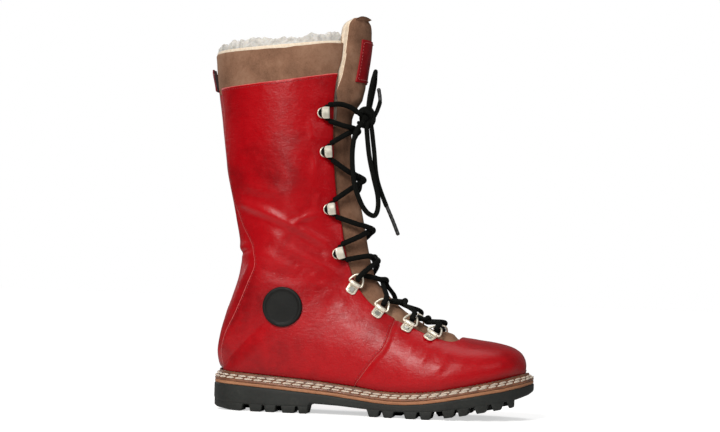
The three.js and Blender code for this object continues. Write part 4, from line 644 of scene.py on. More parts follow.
# the maroon tab that stands off the collar at the back
tab = []
for i, z in enumerate(np.linspace(288.5, 308.5, 22)):
    k = i/21; half = 8.6*(1-.35*smooth(.75, 1, k)); out = .5+1.5*smooth(0, 1, k)
    ring = []
    for v, hh in [(v, 0) for v in np.linspace(-1, 1, 11)]+[(v, 1) for v in np.linspace(1, -1, 11)]:
        y = v*half; x = np.interp(z, [286, 306], [-6.7, -9.2])+.5*(y/10)**2*10/5; ring.append((x-out-1.5*hh+.15*abs(v), y, z))
    tab.append(ring)
tab = loft("back_tab", tab, [M_TAB]); fix_normals(tab); bevel(tab, .35, 2, 50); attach(tab, "boot")

# ------------------------------------------------------------------ shearling lining, seen at the rim and inside
def wrapr(w): return np.where(w < 0, 2+w, w)

def fluff(P, N, amp=1.0, seed=40):
    """curly pile: rounded clumps, then smaller curls"""
    a = 1-worley(P+1.6*np.stack([vnoise(P, 5, seed+1), vnoise(P, 5, seed+2), vnoise(P, 5, seed+3)], -1), 5.6, seed)
    b = 1-worley(P, 2.5, seed+4)
    return amp*(2.3*(a-.45)+.9*(b-.45)+1.1*fbm(P, 13, 2, seed+6))

def rim_fleece():
    step = .0042
    wf = [q for q in np.linspace(.6, .95, 200) if surf(32.5, q)[0] < 110.2][-1]
    W = np.linspace(-wf, wf, int(2*wf/step)); TT = np.linspace(19.6, 35, 240)
    col = surf(TT[:, None], wrapr(W)[None])                    # (t, w, 3)
    prof = [(-3.4, -1.75, 0), (-2.2, -1.5, 0), (-1.2, -1.5, 0), (-.2, -1.6, 0), (.5, -2.0, 0), (.9, -2.6, 0)]
    prof += [(1.2+6.4*np.sin(a), -2.6-4.2*(1-np.cos(a)), 1) for a in np.linspace(.06, np.pi/2, 15)]
    prof += [(1.6+6.0*np.cos(a), -6.8-3.0*np.sin(a), 1) for a in np.linspace(.15, np.pi/2, 9)]
    d = 1.4-np.cumsum(np.r_[np.full(34, .9), np.linspace(1.2, 4, 18)])
    prof += [(z, -9.2, 1) for z in d]
    rows, mats, depth_shade = [], [], []
    for dz, h, k in prof:
        T = np.array([np.interp(lin(RIM, col[np.searchsorted(TT, 31.5), j, 0])+dz, col[:, j, 2], TT) for j in range(len(W))])
        k2 = smooth(0, .03, np.abs(W))[:, None]; r = wrapr(W); P = surf(T, r); N = normal(T, r); N = unit(N*k2+unit(N*np.array([1, .2, 1]))*(1-k2))
        P = P+N*h
        if k:
            f = fluff(P, N, min(1, max(0, (dz+h*-.2)/2.0)) if h > -4 and dz < 3 else 1.0)
            up = smooth(.5, 6, dz); xx = P[:, 0]+6*np.sign(P[:, 1]-4); pk = sum(hh*np.exp(-((xx-cx)/ww)**2) for cx, ww, hh in ((27, 9, 1.6), (55, 7, 1.2), (79, 8, 2.0), (96, 6, 1.8), (6, 6, .6)))
            P = P+N*(f*(.35+.5*(1-up)) )[:, None]+np.array([0, 0, 1])*(f*up*1.35+up*(pk-.6)+up*1.5*fbm(P*np.array([1, 1, .01]), 22, 2, 77))[:, None]
        # painted shade weight, growing the further the row lies down inside the rim
        rows.append(P); depth_shade.append(np.full(len(W), smooth(4, -26, dz) if k else 0.0))
    outer = np.array(rows)
    # the back of the layer, against the leather, closes the piece
    back = outer[-1:].copy(); ro = []
    for fr in (0.0, .5, 1.0):
        i = int(round((1-fr)*(len(prof)-1))); dz = prof[i][0] if fr < 1 else prof[0][0]
        T = np.array([np.interp(lin(RIM, col[np.searchsorted(TT, 31.5), j, 0])+dz, col[:, j, 2], TT) for j in range(len(W))]); r = wrapr(W)
        ro.append(surf(T, r)+normal(T, r)*(-2.75))
    ro = [ro[0], ro[2]]
    R = np.concatenate([outer, np.array(ro)]); nr, nc = R.shape[:2]
    R = R.transpose(1, 0, 2)
    o = loft("rim_fleece", R, [M_FLEECE, M_CREAM_CUT], True, False, True)
    k = np.zeros((nc-1, nr), int); k[:, :5] = 1; k[:, -2:] = 0
    mi = np.concatenate([k.ravel(), [1, 1]]); o.data.polygons.foreach_set("material_index", mi.astype(np.int32))
    a = o.data.attributes.new("depth_shade", "FLOAT", "POINT"); dd = np.concatenate([np.array(depth_shade).T, np.ones((nc, 2))], 1); a.data.foreach_set("value", dd.ravel().astype(np.float32))
    fix_normals(o); return o
rimf = rim_fleece(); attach(rimf, "boot"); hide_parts("shaft_lining")

def lining():
    FR = [(x-(15 if i < 8 else 20 if i < 11 else 13), z-(0 if i < 11 else 10)) for i, (x, z) in enumerate(FACING[:19])]
    CUT = np.vstack([dense(FR, 3), [(200, 60), (222, 56), (236, 66), (236, 90), (320, 90), (320, 420), (FR[0][0], 420)]])
    f_cut = lambda P: np.where(inside(xz(P), CUT), -1, 1)*dist2(xz(P), CUT[:-4])
    nt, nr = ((120, 120))
    t = np.linspace(1.2, 31.0, nt); r = np.linspace(0, 2, nr); A, B = np.meshgrid(t, r, indexing="ij"); Q = np.stack([A.ravel(), B.ravel()], 1); T = grid_tris(nt, nr)
    pos = lambda Q: surf(Q[:, 0], Q[:, 1])
    for f in (f_cut, lambda P: f_rim(P)-30): T, Q = clip(T, Q, f(pos(Q))); T, Q = compact(T, Q)
    P = pos(Q); N = normal(Q[:, 0], Q[:, 1]); f = fluff(P, N, .7, 60)
    Vo = P-N*2.9; Vi = P-N*(8.2+f)[:, None]
    fn = np.cross(Vo[T[:, 1]]-Vo[T[:, 0]], Vo[T[:, 2]]-Vo[T[:, 0]])
    if np.sum(fn*N[T[:, 0]]) < 0: T = T[:, ::-1]
    # painted shade on the lining, growing further down the shaft
    return sheet("lining_fleece", T, Vo, Vi, [M_FLEECE], attrs={"depth_shade": smooth(300, 120, P[:, 2])})
lin_o = lining(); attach(lin_o, "boot")

# ------------------------------------------------------------------ tongue
def tongue_point(t, v, depth):
    qe = lin(TQ, t); q = 1-(1-qe)*np.abs(v); r = np.where(v <= 0, q, 2-q); P = surf(t, r); N = normal(np.minimum(t, 36.4), r)
    w = np.clip((q-.78)/.22, 0, 1); k = w*(2-w); lift = lin(LEAN_MID, P[:, 2])*k+lin(LEAN_EDGE, P[:, 2])*(1-k)
    P = P-N*np.asarray(depth)[:, None] if np.ndim(depth) else P-N*depth
    return P+np.stack([lift, 0*lift, 0*lift], -1), N

TONGUE_TOP = 357.0
def tongue_sheet(name, t0, d0, d1, kv, mats, seed, fluffy, edge_w):
    nt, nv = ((270, 76))
    t = np.linspace(t0, 37.6, nt); v = np.linspace(-1, 1, nv)*kv; A, B = np.meshgrid(t, v, indexing="ij"); Q = np.stack([A.ravel(), B.ravel()], 1); T = grid_tris(nt, nv)
    def top(P, v):
        R = np.where(v > 0, 15.0, 11.0); hw = 27.5*kv; a = np.abs(v)/kv*hw-(hw-R); b = P[:, 2]-(TONGUE_TOP-(2.4 if fluffy else 0)+.8*np.minimum(v, 0)**2-2.2*smooth(-.55, .05, v)-4.5*smooth(.1, 1, v)-R)
        return np.where(P[:, 2] > 322, R-(np.hypot(np.maximum(a, 0), np.maximum(b, 0))+np.minimum(np.maximum(a, b), 0)), 5)
    P, N = tongue_point(Q[:, 0], Q[:, 1], d0); T, Q = clip(T, Q, top(P, Q[:, 1])); T, Q = compact(T, Q)
    P, N = tongue_point(Q[:, 0], Q[:, 1], d0)
    wide = 1+.05*smooth(258, 284, P[:, 2])-.01*smooth(300, 345, P[:, 2])+.02*smooth(262, 230, P[:, 2]) if fluffy else 1-.06*smooth(258, 280, P[:, 2])
    td = top(P, Q[:, 1]); Q = np.stack([Q[:, 0], Q[:, 1]*wide], 1); P, N = tongue_point(Q[:, 0], Q[:, 1], d0)
    e = smooth(0, 1, (kv-np.abs(Q[:, 1]))*22/2.2)                # 0 at the side edges
    soft = 1.0*fbm(P*np.array([1, 1, .6]), 30, 3, seed)+.22*fbm(P, 7, 2, seed+3)
    # the laced part is drawn in a little between the strands; the bend buckles where it is tied
    buck = -1.3*np.exp(-((P[:, 2]-271)/7)**2)*np.exp(-(Q[:, 1]/.5)**2)+.9*np.exp(-((P[:, 2]-283)/6)**2)*np.exp(-(Q[:, 1]/.6)**2)
    free = smooth(5.0, 16, P[:, 2]-240)
    h = soft*(.35+.65*free)*e*.8+buck*.5
    if fluffy:
        Vi, _ = tongue_point(Q[:, 0], Q[:, 1]*.985, d1); Vi = Vi-N*(fluff(Vi, N, .75, seed)*(.25+.75*e)+h*-.6)[:, None]
        Vo = P+N*(np.minimum(h, .2)*.6-.1)[:, None]
    else:
        h = h-.5*(1-np.sqrt(np.clip(e, 0, 1)))-1.5*(1-np.sqrt(smooth(-.4, 4.5, td)))
        # the loose end at the vamp point stands up out of the opening
        h = h+3.6*smooth(202, 209, P[:, 0])*smooth(221, 214, P[:, 0])*np.clip(1-(Q[:, 1]/.75)**2, 0, 1)
        Vi, _ = tongue_point(Q[:, 0], Q[:, 1], d1); Vi = Vi+N*(np.minimum(h, .2)*.6)[:, None]; Vo = P+N*h[:, None]
    fn = np.cross(Vo[T[:, 1]]-Vo[T[:, 0]], Vo[T[:, 2]]-Vo[T[:, 0]])
    if np.sum(fn*N[T[:, 0]]) < 0: T = T[:, ::-1]
    fm = np.full(len(T), 1 if fluffy else 0)
    # painted shade: the laced part of the tongue is darkened where the laces shade it, and its lining is darkened lower
    # down inside the boot
    painted_shade_and_mottle = smooth(286, 262, P[:, 2])*smooth(165, 200, P[:, 2])*.35
    o = sheet(name, T, Vo, Vi, mats, fm, 1, 0, {"painted_shade_and_mottle": painted_shade_and_mottle, "depth_shade": smooth(300, 160, P[:, 2])*.8})
    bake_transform(o); return o
tongue = tongue_sheet("tongue_suede", 6.75, 3.2, 4.9, 1.0, [M_SUEDE, M_CREAM_CUT], 101, False, 1.4)
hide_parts("tongue_lower", "tongue_upper")
tfle = tongue_sheet("tongue_fleece", 8.5, 5.1, 10.2, .985, [M_FLEECE, M_CREAM_CUT], 131, True, 1.4)
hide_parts("tongue_lining_lower", "tongue_lining_upper")

def z_station(z, v, depth):
    """station where the tongue stands at height z"""
    lo = np.full(np.shape(v), 22.0); hi = np.full(np.shape(v), 36.5)
    for _ in range(30):
        m = (lo+hi)/2; below = tongue_point(m, v, depth)[0][:, 2] < z; lo = np.where(below, m, lo); hi = np.where(below, hi, m)
    return (lo+hi)/2
LAB_V = .58
def label():
    n, m = 34, 30; zs = np.linspace(298.2, 336.8, n); vs = np.linspace(-LAB_V, LAB_V, m); V = []
    for z in zs:
        for d in (2.0, 3.1):
            t = z_station(z, vs, d); P, N = tongue_point(t, vs, d); P = P+N*(.18*fbm(P, 14, 2, 5)*(d < 3))[:, None]; V.append(P)
    V = np.array(V).reshape(n, 2, m, 3)
    rings = np.concatenate([V[:, 0], V[:, 1, ::-1]], 1); return loft("tongue_label", rings, [M_LABEL])
lab = label(); fix_normals(lab); bevel(lab, .35, 2, 40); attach(lab, "tongue_top"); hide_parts("tongue_patch")

# ------------------------------------------------------------------ stitches
def capsules(name, C, X, Nn, length, w, h, mats, sides=10, seg=9):
    """a row of stitches: centres, directions, outward normals"""
    X = unit(X); Nn = unit(Nn-np.sum(Nn*X, 1)[:, None]*X); Y = np.cross(X, Nn); a = np.linspace(0, 2*np.pi, sides, endpoint=False); u = np.linspace(-1, 1, seg)
    length = np.broadcast_to(length, (len(C),)); prof = np.sqrt(np.clip(1-np.abs(u)**3.2, .02, 1)); arch = (1-u*u)
    V = C[:, None, None]+X[:, None, None]*(u[None, :, None, None]*length[:, None, None, None]/2)+prof[None, :, None, None]*(Y[:, None, None]*(w*np.cos(a))[None, None, :, None]+Nn[:, None, None]*(h*np.sin(a))[None, None, :, None])+Nn[:, None, None]*(arch*h*.35)[None, :, None, None]
    n = len(C); i = np.arange(n)[:, None, None]*seg*sides+np.arange(seg-1)[None, :, None]*sides; j = np.arange(sides)[None, None]
    Q = np.stack([i+j, i+(j+1) % sides, i+sides+(j+1) % sides, i+sides+j], -1).reshape(-1, 4)
    caps = [list(range(k*seg*sides, k*seg*sides+sides))[::-1] for k in range(n)]+[list(range((k+1)*seg*sides-sides, (k+1)*seg*sides)) for k in range(n)]
    uv = np.stack([np.broadcast_to((np.abs((a/np.pi+1) % 2-1))[None, None], (n, seg, sides)), np.broadcast_to(u[None, :, None]*length[:, None, None]/20, (n, seg, sides))], -1).reshape(-1, 2)
    o = make(name, V.reshape(-1, 3), [Q, caps], mats, uv=uv); return fix_normals(o)

IT, IR = np.meshgrid(np.linspace(.3, 34.8, 150), np.linspace(.0, 1.0, 60), indexing="ij"); IT, IR = IT.ravel(), IR.ravel(); IP = surf(IT, IR)
def locate(p, side):
    """parameters of the surface points seen at (x, z) from one side"""
    t, q = np.empty(len(p)), np.empty(len(p))
    for i, a in enumerate(p):
        k = np.argmin(np.sum((xz(IP)-a)**2, 1)); t[i], q[i] = IT[k], IR[k]
    for _ in range(8):
        S0 = xz(surf(t, q)); dt = xz(surf(t+.02, q))-S0; dq = xz(surf(t, q+.002))-S0; dt /= .02; dq /= .002; e = p-S0
        det = dt[:, 0]*dq[:, 1]-dt[:, 1]*dq[:, 0]; det = np.where(np.abs(det) < 1e-6, 1e-6, det)
        t = np.clip(t+np.clip((e[:, 0]*dq[:, 1]-e[:, 1]*dq[:, 0])/det, -.5, .5), .1, 34.9); q = np.clip(q+np.clip((dt[:, 0]*e[:, 1]-dt[:, 1]*e[:, 0])/det, -.05, .05), .002, .99)
    return t, (q if side < 0 else 2-q)

def seam_row(name, line, off, side, mats, z0, z1, pitch=2.9, length=2.1, w=.26, h=.16, lift=.04, body="boot", keep=None):
    L = np.asarray(line, float); tan = unit(np.gradient(L, axis=0)); L = L+np.stack([-tan[:, 1], tan[:, 0]], -1)*off
    s = np.r_[0, np.cumsum(np.linalg.norm(np.diff(L, axis=0), axis=1))]; u = np.arange(pitch, s[-1], pitch*.25); p = np.stack([np.interp(u, s, L[:, 0]), np.interp(u, s, L[:, 1])], -1)
    p = p[(p[:, 1] > z0) & (p[:, 1] < z1)]; t, r = locate(p, side); P = surf(t, r); N = normal(t, r); hh, _ = relief(P, N); P = P+N*(hh+lift)[:, None]
    ok = np.hypot(*(xz(surf(t, r))-p).T) < .6; P, N = P[ok], N[ok]
    if len(P) < 4: return None
    s = np.r_[0, np.cumsum(np.linalg.norm(np.diff(P, axis=0), axis=1))]; u = np.arange(pitch/2, s[-1]-pitch/2, pitch)
    C = np.stack([np.interp(u, s, P[:, k]) for k in range(3)], -1); N = unit(np.stack([np.interp(u, s, N[:, k]) for k in range(3)], -1)); X = unit(np.gradient(C, axis=0))
    if keep is not None: k = keep(C); C, X, N = C[k], X[k], N[k]
    o = capsules(name, C, X, N, length, w, h, mats, 6, 5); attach(o, body); return o
for s, nm in ((-1, "lateral"), (1, "medial")):
    seam_row("stitch_vamp_a_"+nm, D_VAMP, -2.3, s, [M_REDTHREAD], 30, 84)
    seam_row("stitch_back_"+nm, D_BACK, 2.6, s, [M_REDTHREAD], 44, 286)
    seam_row("stitch_collar_"+nm, D_COL, -2.6, s, [M_REDTHREAD], 200, 310, keep=lambda C: (C[:, 0] > 2) & (C[:, 0] < 104))

# ------------------------------------------------------------------ sole
def outline(n):
    L = np.array([(x, -a, 0) for x, a, b in OUTLINE], float); M = np.array([(x, b, 0) for x, a, b in OUTLINE], float)[::-1]
    C, u = curve(np.vstack([L, M[1:-1]]), .5, True); k = np.argmin(np.hypot(C[:, 0]-289, C[:, 1]-8))
    def part(A): s = np.r_[0, np.cumsum(np.linalg.norm(np.diff(A, axis=0), axis=1))]; v = np.linspace(0, s[-1], n+1); return np.stack([np.interp(v, s, A[:, j]) for j in (0, 1)], -1)
    a = part(C[:k+1, :2]); b = part(np.vstack([C[k:, :2], C[:1, :2]])); return np.vstack([a, b[1:-1]])
ON = 260
OL = outline(ON); OT = unit(np.roll(OL, -1, 0)-np.roll(OL, 1, 0)); OINN = np.stack([-OT[:, 1], OT[:, 0]], -1)
for _ in range(3): OINN = unit(np.roll(OINN, 1, 0)+2*OINN+np.roll(OINN, -1, 0))
zR = lambda x: lin(Z_RUBBER, x); zF = lambda x: lin(Z_FEATHER, x); zB = lambda x: lin(Z_BASE, x); zT = lambda x: lin(Z_TREAD, x)
def ring(inset, zf):
    p = OL+OINN*inset; return np.column_stack([p, zf(p[:, 0])])
def slab(name, rings, mats, mi=None):
    R = np.array(rings); k, m = R.shape[:2]; n = m//2; i = np.arange(k-1)[:, None]; j = np.arange(m)[None]
    Q = np.stack([i*m+j, i*m+(j+1) % m, (i+1)*m+(j+1) % m, (i+1)*m+j], -1).reshape(-1, 4); caps = []
    for base, fl in ((0, True), ((k-1)*m, False)):
        for a in range(n):
            q = [base+a, base+a+1]+([base+m-a-1] if a < n-1 else [])+([base+(m-a) % m] if a > 0 else [])
            caps.append(q[::-1] if fl else q)
    return fix_normals(make(name, R.reshape(-1, 3), [Q, caps], mats, mi))
plate = slab("outsole_rubber", [ring(2.2, zB), ring(.9, lambda x: zB(x)+.15), ring(.15, lambda x: zB(x)+.9), ring(0, lambda x: zB(x)+1.8)]+[ring(0, (lambda f: lambda x: (zB(x)+1.8)*(1-f)+(zR(x)-1.0)*f)(f)) for f in (.25, .5, .75, 1)]+[ring(.25, lambda x: zR(x)-.3), ring(.9, zR)], [M_RUBBER])

EDGE_LUGS = [[2,31],[39.5,49.5],[53.5,62],[69,79.5],[84,91],[147.5,155.5],[161,168.5],[180.5,189.5],[194.5,202.5],[214.5,222.5],[227.5,234.5],[242.5,250],[256.5,263],[269.5,278.5]]
MID_LUGS = [[42,76],[163,173],[184,194],[205,215],[226,236],[247,256]]
LAT = OL[:ON+1]; MED = np.vstack([OL[ON:], OL[:1]])[::-1]
def lug(x0, x1, side, inner, mid=False, top=2.0):
    rows = []
    n = max(3, int((x1-x0)/2)+1)
    for f in np.linspace(0, 1, n):
        row = []
        for lev, dr in ((0, .2), (1, -top)):
            x = max(x0+dr+(x1-x0-2*dr)*f, 2.6)
            if mid: o, i = 9+top*lev, -9-top*lev
            else:
                tab = LAT if side < 0 else MED; y = abs(np.interp(x, tab[:, 0], side*tab[:, 1])); o, i = (y-.5-.35*(1-lev))*side, (inner-(1.4 if inner > 5 else 0)*lev)*side
            zb = zT(x) if lev == 0 else zB(x)+1.4
            row.append(((x, o, zb), (x, i, zb)))
        rows.append([row[0][0], row[1][0], row[1][1], row[0][1]])
    R = np.array(rows)
    if not mid and np.any((R[:, 0, 1]-R[:, 3, 1])*side < 1.6):
        R = R[(R[:, 0, 1]-R[:, 3, 1])*side >= 1.6]
    if len(R) < 2: return None
    o = loft("lug", R, [M_RUBBER]); fix_normals(o); return bevel(o, .75, 2, 35)
lugs = []
for i, (x0, x1) in enumerate(EDGE_LUGS):
    inner = 12 if x0 < 10 else 17 if x0 < 92 else 3 if x0 > 280 else 24
    near = min([abs(b-a) for a, b in ((x0, EDGE_LUGS[i-1][1]) if i else (x0, x0-9), (x1, EDGE_LUGS[i+1][0]) if i < len(EDGE_LUGS)-1 else (x1, x1+9))])
    for s in (-1, 1):
        # the grooves run a little aslant, so the inner side's lugs sit further back
        dx = 0 if s < 0 or i == 0 or x0 > 280 else -.14*(np.interp(x0, LAT[:, 0], -LAT[:, 1])+np.interp(x0, MED[:, 0], MED[:, 1]))
        lugs.append(lug(x0+dx, x1+dx, s, inner, False, min(2.4, near/2-.5)))
for x0, x1 in MID_LUGS: lugs.append(lug(x0, x1, 1, 0, True))
sole = join("outsole_rubber", [plate]+[l for l in lugs if l]); sharpen(sole, 50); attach(sole, "boot"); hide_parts("outsole")

mid = slab("midsole_layer", [ring(1.1, lambda x: zR(x)+.05), ring(.55, lambda x: zR(x)+.35), ring(.4, lambda x: zR(x)+1.2), ring(.4, lambda x: zR(x)+2.2), ring(.55, lambda x: zR(x)+2.75), ring(1.1, lambda x: zR(x)+3.05)], [M_TAN])
sharpen(mid, 60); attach(mid, "boot"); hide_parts("midsole")

def welt_top(f, lift): return lambda x: (zR(x)+4.7)*(1-f)+(zF(x)-.5)*f+lift
WP = [(0, -.7), (.015, -.3), (.04, -.05), (.08, 0), (.12, -.12), (.17, -.42), (.25, -.42), (.31, -.1), (.37, 0), (.43, -.12), (.48, -.42), (.57, -.42), (.63, -.1), (.69, .1), (.75, .6), (.82, .95), (.91, .9), (.98, .45), (1.0, -.3)]
rings = [ring(.3+5.4*f, welt_top(f, l)) for f, l in WP]+[ring(5.7, lambda x: zR(x)+3.35), ring(.5, lambda x: zR(x)+3.3), ring(.3, lambda x: zR(x)+3.5)]
rings = [R+np.column_stack([np.zeros((len(R), 2)), .12*fbm(R*np.array([1, 1, 1]), 14, 2, 50)]) for R in rings]
welt = loft("welt_strip", rings, [M_WELT], True, True); fix_normals(welt)
# painted shade: the welt is darkened in its grooves, at the foot of the raised bead and where it meets the upper
fv = np.concatenate([np.full(2*ON, (1-smooth(.0, .1, f))*.0+(.55 if f > .62 and f < .7 or f > .97 else .25 if f in (.17, .25, .48, .57) else 0)) for f, l in WP]+[np.zeros(6*ON)])
a = welt.data.attributes.new("painted_shade_and_mottle", "FLOAT", "POINT"); a.data.foreach_set("value", fv.astype(np.float32))
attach(welt, "boot"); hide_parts("welt")

def row_on_welt(f, lift, pitch, phase):
    P = ring(.3+5.4*f, welt_top(f, lift)); A = ring(.3, welt_top(0, 0)); B = ring(5.7, welt_top(1, 0)); S = unit(B-A)
    C = np.vstack([P, P[:1]]); s = np.r_[0, np.cumsum(np.linalg.norm(np.diff(C, axis=0), axis=1))]; n = int(round(s[-1]/pitch)); u = (np.arange(n)+phase)*s[-1]/n
    u = u % s[-1]; c = np.stack([np.interp(u, s, C[:, k]) for k in range(3)], -1); Sl = np.vstack([S, S[:1]]); sl = unit(np.stack([np.interp(u, s, Sl[:, k]) for k in range(3)], -1))
    d = np.stack([np.interp((u+.6) % s[-1], s, C[:, k])-np.interp((u-.6) % s[-1], s, C[:, k]) for k in range(3)], -1); X = unit(d); N = unit(np.cross(X, sl)); N = np.where((N[:, 2] < 0)[:, None], -N, N)
    return c, X, N, sl
objs = []
for k, (f, ph) in enumerate(((.2, 0.0), (.535, .0))):
    C, X, N, Sl = row_on_welt(f, .15, 8.9, .25+ph); side = np.where(C[:, 1] < 0, 1.0, -1.0)[:, None]
    X2 = unit(X+side*.05*Sl); objs.append(capsules("w", C, X2, N, 8.1, .95, .85, [M_CORD], 12, 11))
ws = join("welt_cord_stitches", objs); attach(ws, "boot"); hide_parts("welt_stitch")
C, X, N, Sl = row_on_welt(.86, .95, 3.6, 0); tn = capsules("welt_tonal_stitches", C, X, N, 2.7, .5, .4, [M_TONAL], 8, 5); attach(tn, "boot")

# ------------------------------------------------------------------ badge: plain disc, rim and groove only
def badge():
    R = 17.8; prof = [(R-.5, -1.2), (R, -.7), (R, .8), (R-.35, 1.35), (R-.9, 1.65), (R-1.9, 1.75), (R-2.7, 1.6), (R-3.1, 1.25), (R-3.7, 1.05), (R-4.6, 1.0), (R-9, 1.1), (R-14, 1.2), (.6, 1.25)]
    n = 96; a = np.linspace(0, 2*np.pi, n, endpoint=False)
    rings = [np.column_stack([66.3+r*np.cos(a), np.full(n, -38.9-d), 94+r*np.sin(a)]) for r, d in prof]
    o = loft("ankle_badge_disc", rings, [M_BADGE]); fix_normals(o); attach(o, "boot"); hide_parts("ankle_badge"); return o
badge()

# ------------------------------------------------------------------ hooks, plates and D-rings
def place(t, q, s):
    r = q if s < 0 else 2-q; t1, r1 = np.array([t]), np.array([r]); return surf(t1, r1)[0], normal(t1, r1)[0]
hook_at, ring_at = [], []
for s in (-1, 1):
    for i, (t, q) in enumerate(HOOKS):
        o, n = place(t, q, s); c, z = -math.sin(math.radians(HOOK_TILT[i])), math.cos(math.radians(HOOK_TILT[i])); a = unit(np.array([c, -(c*n[0]+z*n[2])/n[1], z])); e = np.cross(a, n)
        if e[0] < 0: e = -e
        hook_at.append(dict(o=o, n=n, a=a, e=e, t=t, r=q if s < 0 else 2-q, name=("lateral_" if s < 0 else "medial_")+str(i+1), hook=True, s=s))
    for i, (t, q) in enumerate(RINGS):
        o, n = place(t, q, s); c, z = math.cos(math.radians(RING_TILT[i])), -math.sin(math.radians(RING_TILT[i])); d = unit(np.array([c, -(c*n[0]+z*n[2])/n[1], z])); e = unit(np.cross(d, n))
        if e[2] < 0: e = -e
        u = e*math.cos(.34)+n*math.sin(.34); ring_at.append(dict(o=o, n=n, d=d, e=e, u=u, bar=o+n*BAR_N, t=t, r=q if s < 0 else 2-q, name=("lateral_" if s < 0 else "medial_")+str(i+1), hook=False, s=s))

def bent(name, o, e, n, a, line, widths, th, mats):
    """a bent strip: centre line in (e, n), half widths along a"""
    L = np.asarray(line, float); T = unit(np.gradient(L, axis=0)); Nn = np.stack([-T[:, 1], T[:, 0]], -1); rings = []
    for (x, y), (nx, ny), w in zip(L, Nn, widths):
        c = min(.22, w*.5); h = th/2; r = []
        for p, q in ((w-c, h), (w, h-c), (w, -h+c), (w-c, -h), (-w+c, -h), (-w, -h+c), (-w, h-c), (-w+c, h)): r.append(o+e*(x+nx*q)+n*(y+ny*q)+a*p)
        rings.append(r)
    ob = loft(name, rings, mats); fix_normals(ob); sharpen(ob, 50); return ob
def arc(cx, cy, r, a0, a1, k): return [(cx+r*math.cos(v), cy+r*math.sin(v)) for v in np.linspace(math.radians(a0), math.radians(a1), k)]
def turned(name, o, e, n, a, cx, prof, mats, k=28):
    an = np.linspace(0, 2*np.pi, k, endpoint=False); rings = [[o+e*(cx+r*math.cos(v))+a*(r*math.sin(v))+n*h for v in an] for r, h in prof]
    ob = loft(name, rings, mats); fix_normals(ob); sharpen(ob, 55); return ob
for f in hook_at:
    o, n, a, e = f["o"], f["n"], f["a"], f["e"]
    L = [(-3.6, 1.15), (-1.5, 1.15), (1.0, 1.15)]+arc(2.7, 2.15, 1.05, -90, 0, 6)+[(3.78, 3.4), (3.8, 4.6), (3.76, 5.7)]+arc(2.6, 5.9, 1.12, 0, 90, 6)+[(1.6, 7.04), (.4, 7.06), (-.8, 7.08), (-1.8, 7.1), (-2.6, 7.12), (-3.1, 7.12), (-3.5, 7.1), (-3.8, 7.06)]
    W = [3.4]*3+[3.4, 3.4, 3.5, 3.6, 3.7, 3.8]+[4.0, 4.4, 4.8]+[4.95, 5.05, 5.15, 5.2, 5.25, 5.3]+[5.3, 5.3, 5.3, 5.25, 5.0, 4.6, 3.9, 3.1]
    parts = [bent("h", o, e, n, a, L, W, .82, [M_HW]),
        turned("b", o, e, n, a, -.6, [(4.6, -.1), (4.8, .2), (4.75, .5), (4.4, .74), (2.8, .86), (.4, .9)], [M_HW]),
        turned("s", o, e, n, a, -.6, [(1.7, 1.3), (1.75, 1.75), (1.45, 2.05), (.8, 2.2), (.2, 2.25)], [M_HW], 18)]
    h = join("lace_hook_"+f["name"], parts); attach(h, "boot"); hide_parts("hook_"+f["name"])
for f in ring_at:
    o, n, d, e, u, bar = f["o"], f["n"], f["d"], f["e"], f["u"], f["bar"]
    es = [-9.6, -9.3, -8.8, -8.1, -7.2, -6.0, -4.6, -3.2, -2.0]; L = [(x, .86) for x in es]+arc(-.1, 2.55, 1.7, -92, 178, 16)
    W = [2.1, 3.0, 3.75, 4.35, 4.7, 4.75, 4.75, 4.75, 4.75]+[4.75]*16
    parts = [bent("p", o, e, n, d, L, W, .78, [M_HW])]
    # ribbed recess in the leaf
    m, k = 26, 8; x0, x1, w = -8.3, -2.9, 3.0; V = []
    for i in range(m):
        x = x0+(x1-x0)*i/(m-1); ww = w*(1-.25*max(0, 1-(i/3))) if i < 3 else w; row = []
        for j in range(k): row.append(o+e*x+d*(-ww+2*ww*j/(k-1))+n*(1.3+.16*math.sin(i/(m-1)*2*math.pi*5.5)+.02))
        for j in range(k): row.append(o+e*x+d*(ww-2*ww*j/(k-1))+n*1.0)
        V.append(row)
    rb = loft("r", V, [M_RIB_SHADED]); fix_normals(rb); parts.append(rb)
    # raised border round the recess
    fr = []
    cs = [(x0-.3, -w-.25), (x0-.55, 0), (x0-.3, w+.25), ((x0+x1)/2, w+.35), (x1+.25, w+.25), (x1+.3, 0), (x1+.25, -w-.25), ((x0+x1)/2, -w-.35)]
    parts.append(cord("f", [o+e*x+d*y+n*1.28 for x, y in cs], .3, .24, [M_HW], .6, 8, True, raw_normals=n))
    p = join("ring_plate_fold_"+f["name"], parts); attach(p, "boot"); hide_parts("ring_plate_"+f["name"])
    h = 5.3; P = lambda x, y: bar+d*x+u*y
    loop = [P(-.5*h, 0), P(.5*h, 0), P(h-.2, 0), P(h+.9, .9), P(h+.9, 2.4), P(.78*h, 7), P(.35*h, 8.8), P(-.35*h, 8.8), P(-.78*h, 7), P(-h-.9, 2.4), P(-h-.9, .9), P(-h+.2, 0)]
    r = cord("wire_ring_"+f["name"], loop, .9, .9, [M_HW], .5, 14, True, raw_normals=np.cross(d, u)); fix_normals(r)
    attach(r, "ring_"+f["name"]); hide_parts("d_ring_"+f["name"])

